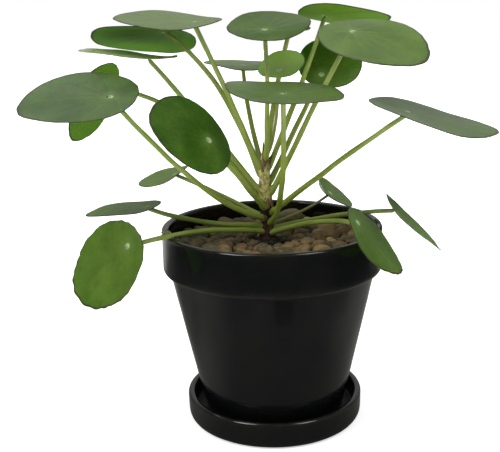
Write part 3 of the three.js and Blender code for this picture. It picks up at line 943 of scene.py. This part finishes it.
def add_stones(name, places, level, seed, shade=1.0, nodes=()):
    """A piece of many pebbles, each worn to its own shape and with its own colour."""
    chance = np.random.default_rng(seed)
    ball_points, ball_faces = ball(level)
    colours, share = (np.array(column, float) for column in zip(*STONE_COLOURS))
    bodies, tints = [], []
    for i, (centre, half, turn) in enumerate(places):
        worn = 1 + noises(ball_points + 5 * i, (0.13, 1.3, seed), (0.05, 0.5, seed + 1))
        flat = np.sign(ball_points) * np.abs(ball_points) ** 0.9
        body = flat * worn[:, None] * np.array(half) * 0.97
        tip = (chance.random(2) - 0.5) * 0.5
        tilt = Matrix.Rotation(tip[0], 3, "X") @ Matrix.Rotation(tip[1], 3, "Y")
        spin = Matrix.Rotation(turn, 3, "Z") @ tilt
        bodies.append((body @ np.array(spin).T + centre, ball_faces))
        own = colours[chance.choice(len(colours), p=share / share.sum())] * (0.6 + 0.75 * chance.random())
        if half == ROCK[1]:
            own = ROCK_COLOUR
        # Painted shade: pebbles towards the back left are darkened, standing in for the shade of the leaves
        # above them.
        painted_leaf_shade = 0.4 + 0.6 * float(step_between(centre[0] - 0.6 * centre[1], -45, 0))
        tints.append(np.tile(own * painted_leaf_shade, (len(ball_points), 1)))
    piece = make_piece(name, *fused(bodies), ["stone"], "gravel", nodes)
    # shade darkens every stone of the piece: painted shade for the small stones between the pebbles.
    add_values(piece, stone_colour=np.clip(np.vstack(tints), 0, 1) * shade)


class PILEA_OT_gravel(bpy.types.Operator):
    """Add the river gravel: large pebbles, the small ones between them and the sand below"""

    bl_idname = "pilea.gravel"
    bl_label = "Gravel"

    def execute(self, context):
        bed_top = context.scene.pilea_plant.bed_top
        add_stones("gravel_pebbles", pebble_places(bed_top), 4, 51, nodes=["gravel"])
        # Painted shade: the small stones between the pebbles are darkened, standing in for the shade between
        # the pebbles.
        add_stones("gravel_small_stones", small_stone_places(bed_top), 3, 61, shade=0.45)
        inner, top, bottom = EYE_RADIUS - 0.5, bed_top - 0.8, bed_top - 1.7
        surface = [(radius, top) for radius in np.arange(inner, REACH, 1.3)]
        profile = np.array(surface + [(REACH, top), (REACH, bottom), (inner, bottom)])
        points = turned_points(profile, SOIL_SIDES)
        rough = noises(points, (0.5, 3, 71), (0.25, 1.2, 72))
        points[:, 2] += np.where(points[:, 2] > bed_top - 1, rough, 0)
        faces = grid_faces(len(profile), SOIL_SIDES, closed=True)[:, ::-1]
        make_piece("gravel_sand", points, faces, ["soil"], "gravel")
        return {"FINISHED"}


class PILEA_OT_litter(bpy.types.Operator):
    """Add loose root threads on the lip and the gravel"""

    bl_idname = "pilea.litter"
    bl_label = "Litter"

    def execute(self, context):
        share = np.linspace(0, 1, 16)
        bodies, pale = [], []
        for index, (start, end, lift, radius, paleness) in enumerate(THREADS):
            path = np.array(start) + share[:, None] * (np.array(end) - start)
            path[:, 2] += 4 * lift * share * (1 - share)
            path += 0.9 * drift(path, 4, 90 + 3 * index)
            bodies.append(tube(path, radius * np.sqrt(1.05 - share**2), 6))
            pale.append(np.full(len(bodies[-1][0]), paleness))
        piece = make_piece("litter_roots", *fused(bodies), ["scale"], "bark")
        add_values(piece, fresh=np.concatenate(pale))
        return {"FINISHED"}


# ---------------------------------------------------------------- trunk

TRUNK_FOOT = (TRUNK_LOW[:2] + TRUNK_HIGH[:2]) / 2
TRUNK_NECK = 157.0  # where the bud starts
TRUNK_RADII = (4, 3)  # at the soil and at the neck
TRUNK_SIDES, TRUNK_ROWS = 48, 170
JOINT_HEIGHT = 140.5  # of the thick pale green joint
TRUNK_RINGS = [  # height and swelling of each ring scar
    (113.0, 0.35), (117.6, 0.5), (121.8, 0.4), (126.2, 0.5), (131.2, 0.6), (141.5, 0.2), (146.5, 0.25),
]
# Foot height, bearing in degrees, length, width, and how far the scale's tip stands off the trunk.
SCALES = [
    (146.5, 205, 13.0, 5.0, 0.9), (147.5, 305, 11.5, 4.6, 1.1), (148.0, 30, 12.5, 4.6, 1.2),
    (149.5, 110, 12.0, 4.4, 0.9), (149.0, 255, 10.5, 4.6, 0.6), (138.0, 285, -8.5, 3.0, 0.9),
    (139.0, 325, -10.0, 3.4, 1.0), (137.5, 238, -7.0, 3.0, 0.7), (126.5, 170, 5.0, 3.4, 1.3),
    (121.0, 250, 4.6, 3.4, 1.2), (118.0, 20, 4.8, 3.4, 1.2), (130.5, 60, 5.2, 3.6, 1.2),
    (114.5, 300, 4.2, 3.2, 1.4), (124.0, 330, 4.6, 3.0, 1.0),
]
SCALE_THICKNESS = 0.22
SPIKE_FOOT, SPIKE_HEIGHT = 151.5, 18.5


def trunk_line(height):
    """The trunk's middle line at each height."""
    height = np.asarray(height, float)
    x = TRUNK_FOOT[0] + 0.6 * np.sin((height - SOIL_LEVEL) / 9)
    return np.stack([x, np.full_like(x, TRUNK_FOOT[1]), height], -1)


def bulge(value, at, reach):
    """A smooth bulge of height 1."""
    return np.exp(-(((value - at) / reach) ** 2))


class PILEA_OT_trunk(bpy.types.Operator):
    """Add the woody trunk with its scars, scales and growing tip"""

    bl_idname = "pilea.trunk"
    bl_label = "Trunk"

    def execute(self, context):
        top, (thick, slim), sides = TRUNK_HIGH[2], TRUNK_RADII, TRUNK_SIDES
        height = np.linspace(TRUNK_LOW[2], top, TRUNK_ROWS)
        body = thick + (slim - thick) * np.clip((height - SOIL_LEVEL) / (TRUNK_NECK - SOIL_LEVEL), 0, 1)
        body = body * np.sqrt(np.maximum(0.02, 1 - np.clip((height - TRUNK_NECK) / (top - TRUNK_NECK), 0, 1)))
        scar = sum(swell * bulge(height, at, 0.9) for at, swell in TRUNK_RINGS)
        body = body + 0.35 * scar + 0.77 * bulge(height, JOINT_HEIGHT, 5.5)
        body = body + 0.9 * bulge(height, SOIL_LEVEL, 3.0)
        skin = turned_points(np.stack([np.full_like(height, thick), height], -1), sides)
        woody = 1 - step_between(height, 131, 138)[:, None]
        flake = smooth_noise(skin * [1, 1, 0.6], 2.2, 81).reshape(-1, sides)
        grain = smooth_noise(skin * [1, 1, 0.4], 0.9, 82).reshape(-1, sides)
        radius = body[:, None] + (0.1 + 0.42 * woody) * flake + (0.04 + 0.14 * woody) * grain
        woody_tube = tube(trunk_line(height), radius, sides)
        piece = make_piece("trunk_woody", *woody_tube, ["bark"], "bark", ["trunk"])
        tones = {
            "green": step_between(height, 131, 136) * (1 - 0.3 * step_between(height, 149, 155)),
            "scar": np.clip(scar, 0, 1),
            # Painted shade: where the band under the joint is painted nearly black.
            "joint_shade_band": step_between(height, 120, 124) * (1 - step_between(height, 129, 132)),
        }
        ends = [0, -1]
        rings = {name: np.append(np.repeat(tone, sides), tone[ends]) for name, tone in tones.items()}
        add_values(piece, **rings)

        points, faces = fused(self.scale(index, *scale) for index, scale in enumerate(SCALES))
        piece = make_piece("trunk_scales", points, faces, ["scale"], "bark")
        level = points[:, 2]
        add_values(piece, fresh=step_between(level, 137, 142) * (1 - step_between(level, 151, 158)))

        share = np.linspace(0, 1, 24)
        offset = np.stack([0.4 * share - 0.7, 0 * share - 2.9, SPIKE_HEIGHT * share], -1)
        path = trunk_line(SPIKE_FOOT) + offset
        width = 0.95 * np.sin(math.pi * np.clip(share * 0.62 + 0.38, 0, 1)) ** 0.8 + 0.12
        spike = tube(path, width[:, None] * (1 + 0.2 * np.cos(3 * circle(12))), 12)
        make_piece("trunk_spike", *spike, ["scale"], "bark")
        return {"FINISHED"}

    def scale(self, index, foot, bearing, length, width, lean, steps=14, across=9):
        """Points and faces of one papery scale. A negative length makes it hang."""
        share = np.linspace(0, 1, steps)
        turn = np.linspace(-1, 1, across)
        reach = 3.5 - 0.35 * step_between(foot, 140, 156) - 0.5 * (1 - share) ** 3 + lean * share**1.6
        half = 0.5 * width * np.sqrt(np.clip(1 - share**1.7, 0.002, 1))
        angle = math.radians(bearing) + (half[:, None] / 3.4) * turn
        curl = reach[:, None] + 0.25 * (1 - turn**2) + 0.18 * np.sin(7 * share[:, None] + 3 * turn + index)
        out = np.stack([np.cos(angle), np.sin(angle), 0 * angle], -1)
        outer = trunk_line(foot + share * length)[:, None] + curl[..., None] * out
        inner = (outer - SCALE_THICKNESS * out)[:, ::-1]
        points = np.concatenate([outer, inner], axis=1).reshape(-1, 3)
        sides = 2 * across
        first, last = np.arange(sides), (steps - 1) * sides + np.arange(sides)
        quads, caps = grid_faces(steps, sides), np.array([first[::-1], last])
        if length < 0:
            quads, caps = quads[:, ::-1], caps[:, ::-1]
        return points, [*quads, *caps]


# ---------------------------------------------------------------- leaves

VEIN_ANGLES = [0, 31, 68, 110, 155, 205, 250, 292, 329, 360]  # from the tip, in degrees
SPOKES_PER_GAP = 12
BLADE_RINGS = np.concatenate([np.linspace(0, 0.93, 25)[1:], [0.95, 0.966, 0.978, 0.987, 0.994]])
VEIN_SWEEP = 0.3  # how far the side veins bend towards the tip, in radians

# Tone of each leaf's green from 0, deep, to 1, light, and the height of the ripple along its edge.
# The tones are partly each leaf's own green and partly painted light and shade: 12, lit through, is made
# lightest, and 21, in shade, dark.
LEAF_LOOKS = {
    "01": (0.26, 0.1), "02": (0.1, 0.1), "03": (0.75, 0.25), "04": (0.07, 0.1), "05": (0.36, 0.1),
    "06": (0.05, 0.08), "07": (0.5, 0.1), "08": (0.24, 0.1), "09": (0.19, 0.3), "10": (0.1, 0.1),
    "11": (0.24, 0.1), "12": (1.0, 0.08), "13": (0.52, 0.1), "14": (0.17, 0.1), "15": (0.15, 0.08),
    "16": (0.22, 0.12), "17": (0.28, 0.1), "18": (0.12, 0.12), "19": (0.27, 0.1), "20": (0.17, 0.15),
    "21": (0.1, 0.15),
}
WAXY_LEAVES = {"01", "02", "03", "04", "11", "14", "16", "17", "18"}
# How much each leaf is paled all over: on 03, seen edge-on, it is painted sheen; 12 and 21 are paled a
# little.
PALE_LEAVES = {"03": 0.35, "12": 0.15, "21": 0.16}
VEINED_LEAVES = {"16": 4.0}
# Dry spots: the angle from the leaf's tip in degrees, the share of the way out, and the radius.
BLEMISHES = {
    "19": [(150, 0.95, 2.0), (163, 0.93, 1.5), (138, 0.97, 1.3), (172, 0.97, 0.9)],
    "09": [(248, 0.985, 0.5), (262, 0.97, 0.4), (276, 0.98, 0.6), (292, 0.985, 0.45), (308, 0.97, 0.35)],
    "03": [(30, 0.99, 0.6)],
}
# Stalks that are thinner than the others, or reddened: share of the usual radius, and share of red.
STALK_LOOKS = {"12": (0.62, 0.5), "19": (0.6, 0.55), "07": (0.85, 0.1), "10": (0.9, 0.0), "17": (0.9, 0.1)}
STALK_SIDES = 16
BLADE_SEED, STALK_SEED = 100, 300


class Blade:
    """The middle surface of a packed leaf blade, as a smooth function of reach and angle."""

    def __init__(self, name):
        points, triangles = node_surface(f"leaf_blade_{name}")
        beside = [set() for _ in points]
        for triangle in triangles:
            for corner in triangle:
                beside[corner] |= set(triangle) - {corner}
        hubs = sorted(range(len(points)), key=lambda i: -len(beside[i]))[:2]
        hubs.sort(key=lambda i: points[i][2])
        self.hub = points[hubs].mean(0)
        normal = points[hubs[1]] - points[hubs[0]]
        self.normal = normal / np.linalg.norm(normal)
        both = zip(*(self.rings(points, beside, hub) for hub in hubs))
        first, second = (np.mean(ring, axis=0) for ring in both)
        tip = np.argmax(np.linalg.norm(second - self.hub, axis=1))
        first, second = (np.roll(ring, -tip, axis=0) - self.hub for ring in (first, second))
        self.spokes = len(first)
        self.straight = np.fft.rfft(4 * first - second, axis=0) / self.spokes
        self.bent = np.fft.rfft(2 * second - 4 * first, axis=0) / self.spokes

    def rings(self, points, beside, hub):
        """The hub's two rings of points on its own face, in order round the normal."""
        near = beside[hub]
        far = set().union(*(beside[i] for i in near)) - near - {hub}
        across = np.array([1.0, 0.0, 0.0]) - self.normal * self.normal[0]
        across /= np.linalg.norm(across)
        other = np.cross(self.normal, across)
        for chosen in (np.array(sorted(near)), np.array(sorted(far))):
            offset = points[chosen] - self.hub
            yield points[chosen[np.argsort(np.arctan2(offset @ other, offset @ across))]]

    def series(self, coefficients, angle):
        """The smooth periodic curve through one value for each spoke."""
        total = np.real(coefficients[0]) * np.ones((*angle.shape, 3))
        half = self.spokes // 2
        for k in range(1, half + 1):
            weight = 1.0 if k == half else 2.0
            total = total + weight * np.real(coefficients[k] * np.exp(1j * k * angle)[..., None])
        return total

    def at(self, share, angle):
        """Points of the middle surface. share is 0 at the hub and 1 on the edge."""
        share = share[..., None]
        return self.hub + self.series(self.straight, angle) * share + self.series(self.bent, angle) * share**2


def spoke_angles():
    """Each spoke's place between the veins, from 0 to 1 round the leaf, and its angle at the hub."""
    steps = 0.5 * (1 - np.cos(math.pi * np.arange(SPOKES_PER_GAP) / SPOKES_PER_GAP))
    around = np.concatenate([(k + steps) / BLADE_VEINS for k in range(BLADE_VEINS)])
    return around, np.radians(np.interp(around * BLADE_VEINS, np.arange(BLADE_VEINS + 1), VEIN_ANGLES))


class PILEA_OT_blades(bpy.types.Operator):
    """Add the round leaf blades with their veins"""

    bl_idname = "pilea.blades"
    bl_label = "Leaf blades"

    def execute(self, context):
        for name in LEAF_NAMES:
            self.add_blade(name, context.scene.pilea_plant)
        return {"FINISHED"}

    def add_blade(self, name, size):
        blade = Blade(name)
        tone, ripple = LEAF_LOOKS[name]
        seed = BLADE_SEED + int(name)
        around, hub_angle = spoke_angles()
        spokes, rings = len(around), len(BLADE_RINGS)
        share = np.append(BLADE_RINGS, 1.0)[:, None] * np.ones(spokes)
        angle = hub_angle - VEIN_SWEEP * np.sin(hub_angle) * share

        # The outline: uneven and finely scalloped.
        middle = blade.at(share, angle)
        out = middle - blade.hub
        reach = np.linalg.norm(out, axis=-1)
        turn = np.stack([np.cos(angle), np.sin(angle), 0.05 * seed + 0 * angle], -1).reshape(-1, 3)
        uneven = noises(turn, (1, 0.45, seed), (0.4, 0.2, seed + 1)).reshape(share.shape)
        scallop = 1.1 * ripple * np.sin(21 * angle + 2.5 * np.sin(3 * angle + seed)) * share**12
        spread = (0.2 + ripple) * uneven * share**6 + scallop
        middle += (out / np.maximum(reach, 1e-6)[..., None]) * spread[..., None]

        # The relief: quilting between the veins, soft unevenness, a wavy edge, sunken veins and a dimple.
        gap = np.abs((around * BLADE_VEINS + 0.5) % 1 - 0.5)
        to_vein = gap * (2 * math.pi / BLADE_VEINS) * reach
        puffed = size.quilting * np.sin(math.pi * gap) ** 2 * step_between(share, 0.08, 0.5)
        puffed = puffed * (1 - step_between(share, 0.8, 1.0))
        soft = noises(middle.reshape(-1, 3), (0.1, 17, seed + 2), (0.04, 6, seed + 3)).reshape(share.shape)
        edge_wave = np.sin(5 * angle + seed) * share**8 + 0.6 * np.sin(8 * angle + 2 * seed) * share**10
        height = puffed + soft * step_between(share, 0.05, 0.4) + ripple * edge_wave
        groove = size.vein_depth * bulge(to_vein, 0, 0.8) * (1 - step_between(share, 0.75, 1.0))
        groove = groove * step_between(reach, 1.0, 5.0)
        dimple = 0.08 * bulge(reach, 0, 1.9)
        thinning = 1 - step_between(share, 0.1, 0.95)
        thick = size.blade_margin + (size.blade_thickness - size.blade_margin) * thinning
        half = 0.5 * thick * np.sqrt(np.clip(1 - np.clip((share - 0.975) / 0.025, 0, 1) ** 2, 0, 1))
        up = blade.normal
        upper = middle[:-1] + (height + half - groove - dimple)[:-1, :, None] * up
        under = middle[:-1] + (height - half - 0.9 * groove + 0.5 * dimple)[:-1, :, None] * up
        edge = middle[-1] + height[-1][:, None] * up
        hub_top = blade.hub + (0.5 * size.blade_thickness - 0.08) * up
        hub_under = blade.hub - (0.5 * size.blade_thickness - 0.04) * up
        points = np.vstack([hub_top, upper.reshape(-1, 3), edge, under[::-1].reshape(-1, 3), hub_under])
        total = 2 * rings + 1
        top_fan = fan_faces(0, 1, spokes)
        under_fan = fan_faces(len(points) - 1, 1 + (total - 1) * spokes, spokes, upward=False)
        faces = [*top_fan, *(grid_faces(total, spokes) + 1), *under_fan]

        # The map: how far round between the veins, and how far out.
        u_low, u_high = around, np.append(around[1:], 1.0)
        first = 0 * u_low + BLADE_RINGS[0]
        fan_u = np.stack([(u_low + u_high) / 2, u_low, u_high], -1)
        fan = np.stack([fan_u, np.stack([0 * first, first, first], -1)], -1)
        out_and_back = np.concatenate([BLADE_RINGS, [1.0], BLADE_RINGS[::-1]])
        grid = grid_map(u_low, u_high, out_and_back)
        corner_uv = np.vstack([fan.reshape(-1, 2), grid, fan[:, [0, 2, 1]].reshape(-1, 2)])
        under_side = np.repeat(np.arange(total - 1) >= rings, spokes)
        face_finish = np.concatenate([np.zeros(spokes), under_side, np.ones(spokes)])
        finishes = ["leaf_waxy" if name in WAXY_LEAVES else "leaf_soft", "leaf_under"]
        nodes = [f"leaf_blade_{name}"]
        piece = make_piece(f"blade_{name}", points, faces, finishes, "leaf", nodes, corner_uv, face_finish)

        all_reach = np.concatenate([[0], reach.ravel(), reach[:-1][::-1].ravel(), [0]])
        ragged = 1 + 0.5 * smooth_noise(points, 1.1, seed + 4)
        # Painted sheen: some leaves start paled all over, and the dry spots are added on top.
        blemish = np.full(len(points), PALE_LEAVES.get(name, 0.0))
        for degrees, out_share, spot in BLEMISHES.get(name, []):
            at = blade.at(np.array([out_share]), np.radians([degrees]))[0]
            distance = np.linalg.norm(points - at, axis=1) * ragged
            blemish = np.maximum(blemish, 1 - step_between(distance, 0.5 * spot, spot))
        add_values(piece, reach=all_reach, tone=tone, blemish=blemish, veined=VEINED_LEAVES.get(name, 1.0))


def section_centres(points, triangles, start, end, shares):
    """Centres of a solid's cross-sections by planes square to the line from start to end."""
    axis = end - start
    length = np.linalg.norm(axis)
    axis = axis / length
    side = np.cross(axis, [0.3, 0.2, 1.0])
    side /= np.linalg.norm(side)
    other = np.cross(axis, side)
    depth = (points - start) @ axis / length
    centres = []
    for share in shares:
        above = depth[triangles] > share
        area, moment = 0.0, np.zeros(2)
        for triangle in triangles[(above.sum(1) > 0) & (above.sum(1) < 3)]:
            crossing = []
            for a, b in zip(triangle, np.roll(triangle, -1)):
                if (depth[a] > share) != (depth[b] > share):
                    t = (share - depth[a]) / (depth[b] - depth[a])
                    at = points[a] + t * (points[b] - points[a]) - start
                    crossing.append((depth[b] > share, np.array([at @ side, at @ other])))
            crossing.sort(key=lambda c: c[0])
            (_, first), (_, second) = crossing
            piece = first[0] * second[1] - first[1] * second[0]
            area += piece
            moment += (first + second) * piece / 3
        centres.append(moment / area if abs(area) > 1e-9 else [np.nan, np.nan])
    centres = np.array(centres)
    good = ~np.isnan(centres[:, 0])
    return np.asarray(shares)[good], centres[good], (axis * length, side, other)


class PILEA_OT_stalks(bpy.types.Operator):
    """Add the leaf stalks, from the trunk to each leaf"""

    bl_idname = "pilea.stalks"
    bl_label = "Leaf stalks"

    def execute(self, context):
        for name in LEAF_NAMES:
            self.add_stalk(name, context.scene.pilea_plant)
        return {"FINISHED"}

    def middle_line(self, name, end):
        """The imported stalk's middle line, from inside the trunk to the leaf."""
        points, triangles = node_surface(f"leaf_stalk_{name}")
        foot_distance = np.hypot(*(points[:, :2] - TRUNK_FOOT).T)
        foot = points[foot_distance < foot_distance.min() + 1.2].mean(0)
        cuts = np.linspace(0.06, 0.93, 30)
        shares, centres, (axis, side, other) = section_centres(points, triangles, foot, end, cuts)
        share = np.linspace(-2.6 / np.linalg.norm(axis), 1.0, 46)
        sway = [np.polyval(np.polyfit(shares, centres[:, k], 4), share)[:, None] for k in (0, 1)]
        path = foot + share[:, None] * axis + sway[0] * side + sway[1] * other
        path += (end - path[-1]) * (np.clip(share, 0, 1) ** 4)[:, None]
        # The first stretch is bent, so that the stalk grows out of the trunk's middle.
        later = path[(np.linalg.norm(path - foot, axis=1) > 7.0) & (np.arange(len(path)) > 4)]
        root = trunk_line(foot[2] - 1.0)
        t = np.linspace(0, 1, 12)[:-1, None]
        return np.vstack([(1 - t) ** 2 * root + 2 * t * (1 - t) * foot + t**2 * later[0], later])

    def add_stalk(self, name, size):
        blade = Blade(name)
        seed, sides = STALK_SEED + int(name), STALK_SIDES
        path = self.middle_line(name, blade.hub - 0.5 * size.blade_thickness * blade.normal)
        run = np.concatenate([[0], np.cumsum(np.linalg.norm(np.diff(path, axis=0), axis=1))])
        length = run[-1]
        along = run / length
        path = path + 0.35 * np.sin(math.pi * along)[:, None] * drift(path, 13, seed)
        thin, rust = STALK_LOOKS.get(name, (1.0, 0.0))
        radius = size.stalk_base + (size.stalk_tip - size.stalk_base) * along
        flare = size.stalk_flare * (bulge(run, 3.5, 3.5) + 0.55 * bulge(run, length, 1.6))
        radius = radius * (1 - 0.7 * step_between(run, length - 1.3, length))
        radius = radius * thin * (1 + flare) * (1 + 0.05 * noise_along(run, 9, seed))
        ribbed = radius[:, None] * (1 + 0.025 * np.cos(5 * circle(sides) + 0.8 * seed))
        points, faces = tube(path, ribbed, sides)
        u_low = np.arange(sides) / sides
        caps = [np.repeat(np.stack([u_low, 0 * u_low + end], -1), 3, axis=0) for end in (0.0, 1.0)]
        corner_uv = np.vstack([grid_map(u_low, u_low + 1 / sides, along), *caps])
        nodes = [f"leaf_stalk_{name}"]
        piece = make_piece(f"stalk_{name}", points, faces, ["stalk"], "stalk", nodes, corner_uv)
        add_values(piece, rust=rust)


# ---------------------------------------------------------------- stage

CAMERA_PLACE = (0, -0.5023, 0.2506)  # in metres, as are all the sizes of the stage
CAMERA_YAW, CAMERA_PITCH, CAMERA_ROLL = -0.02569, 0.25542, -0.0239
WINDOW_SIZE, WINDOW_DISTANCE, WINDOW_HEIGHT = (0.55, 0.75), 1.15, 1.4
WINDOW_AIM = Vector((0, 0, 0.12))
FLOOR_HALF, FLOOR_CELLS = 4.0, 40
WHITE = (1, 1, 1)


class PILEA_OT_stage(bpy.types.Operator):
    """Add the camera, the pale floor and the soft lights"""

    bl_idname = "pilea.stage"
    bl_label = "Stage"

    def execute(self, context):
        scene, stage = context.scene, context.scene.pilea_stage
        self.add_camera(scene, stage)
        self.add_floor(scene)
        windows = (("left", -140.0, stage.left_window), ("right", -40.0, stage.right_window))
        for side, bearing, radiance in windows:
            data = bpy.data.lights.new(f"window_{side}", "AREA")
            data.shape = "RECTANGLE"
            data.size, data.size_y = WINDOW_SIZE
            data.energy = radiance * math.pi * data.size * data.size_y
            angle = math.radians(bearing)
            across = WINDOW_DISTANCE * Vector((math.cos(angle), math.sin(angle), 0))
            place = across + Vector((0, 0, WINDOW_HEIGHT))
            self.add_lamp(scene, data, place, WINDOW_AIM - place)
        above = bpy.data.lights.new("overhead_light", "SUN")
        above.energy = stage.overhead
        above.angle = math.radians(50)
        self.add_lamp(scene, above, (0, 0, 0), Vector((0.25, -0.15, -0.95)))
        self.add_room(scene, stage)
        scene.view_settings.view_transform = "Standard"
        return {"FINISHED"}

    def add_camera(self, scene, stage):
        data = bpy.data.cameras.new("camera")
        data.lens = stage.lens
        data.sensor_width = 36.0
        data.sensor_fit = "HORIZONTAL"
        data.clip_start = 0.02
        camera = bpy.data.objects.new("camera", data)
        scene.collection.objects.link(camera)
        yaw, pitch, roll = CAMERA_YAW, CAMERA_PITCH, CAMERA_ROLL
        forward = Vector((math.sin(yaw) * math.cos(pitch), math.cos(yaw) * math.cos(pitch), -math.sin(pitch)))
        level = Vector((math.cos(yaw), -math.sin(yaw), 0))
        upright = level.cross(forward)
        right = math.cos(roll) * level + math.sin(roll) * upright
        up = -math.sin(roll) * level + math.cos(roll) * upright
        turn = Matrix((right, up, -forward)).transposed()
        camera.matrix_world = Matrix.Translation(CAMERA_PLACE) @ turn.to_4x4()
        scene.camera = camera

    def add_floor(self, scene):
        mesh = bpy.data.meshes.new("floor")
        build = bmesh.new()
        bmesh.ops.create_grid(build, x_segments=FLOOR_CELLS, y_segments=FLOOR_CELLS, size=FLOOR_HALF)
        build.to_mesh(mesh)
        build.free()
        mesh.materials.append(MATERIALS["floor"])
        floor = bpy.data.objects.new("floor", mesh)
        scene.collection.objects.link(floor)

    def add_lamp(self, scene, data, place, aim):
        lamp = bpy.data.objects.new(data.name, data)
        lamp.location = place
        lamp.rotation_euler = aim.to_track_quat("-Z", "Y").to_euler()
        scene.collection.objects.link(lamp)

    def add_room(self, scene, stage):
        """A bright room for the plant, a dim, patchy one for the glaze to mirror, and white behind."""
        world = bpy.data.worlds.new("room")
        scene.world = world
        world.use_nodes = True
        tree = world.node_tree
        tree.nodes.clear()
        way = add_node(tree, "TexCoord", output="Generated")
        slope = add_node(tree, "VectorMath", (way, (0.0, 0.75, 1.1)), "Value", operation="DOT_PRODUCT") + 1.0
        patches = add_node(tree, "TexNoise", {"Vector": way, "Scale": 1.7, "Detail": 1.0})
        patchy = (slope * patches.rise(0.4, 0.6, 0.45, 1.5)).math("MAXIMUM", 0.15)
        mirrored = add_node(tree, "Background", {"Color": patchy, "Strength": stage.mirrored_room})
        around = add_node(tree, "Background", (WHITE, stage.room_strength))
        glossy = add_node(tree, "LightPath", output="Is Glossy Ray")
        shown = add_node(tree, "MixShader", (glossy, around, mirrored))
        if stage.white_backdrop:
            seen = add_node(tree, "LightPath", output="Is Camera Ray")
            shown = add_node(tree, "MixShader", (seen, shown, add_node(tree, "Background", (WHITE,))))
        tree.links.new(shown.socket, tree.nodes.new("ShaderNodeOutputWorld").inputs["Surface"])


# ---------------------------------------------------------------- panel and registration


class PILEA_PT_panel(bpy.types.Panel):
    """Buttons for every piece of the plant"""

    bl_idname = "PILEA_PT_panel"
    bl_label = "Potted Pilea"
    bl_space_type = "VIEW_3D"
    bl_region_type = "UI"
    bl_category = "Pilea"

    def draw(self, context):
        column = self.layout.column()
        for operator in OPERATORS:
            column.operator(operator.bl_idname)


OPERATORS = [
    PILEA_OT_stage, PILEA_OT_saucer, PILEA_OT_pot, PILEA_OT_soil, PILEA_OT_gravel, PILEA_OT_litter,
    PILEA_OT_trunk, PILEA_OT_stalks, PILEA_OT_blades,
]
GROUPS = {
    "pilea_pot": PileaPotSizes, "pilea_plant": PileaPlantSizes, "pilea_looks": PileaLooks,
    "pilea_stage": PileaStage,
}
CLASSES = [*GROUPS.values(), *OPERATORS, PILEA_PT_panel]


def register():
    for item in CLASSES:
        bpy.utils.register_class(item)
    for name, group in GROUPS.items():
        setattr(bpy.types.Scene, name, PointerProperty(type=group))


def unregister():
    for name in GROUPS:
        delattr(bpy.types.Scene, name)
    for item in reversed(CLASSES):
        bpy.utils.unregister_class(item)


def main():
    register()
    make_materials(bpy.context.scene.pilea_looks)
    bpy.ops.pilea.stage()
    bpy.ops.pilea.saucer()
    bpy.ops.pilea.pot()
    bpy.ops.pilea.soil()
    bpy.ops.pilea.gravel()
    bpy.ops.pilea.litter()
    bpy.ops.pilea.trunk()
    bpy.ops.pilea.stalks()
    bpy.ops.pilea.blades()
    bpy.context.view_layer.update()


if __name__ == "__main__":
    main()
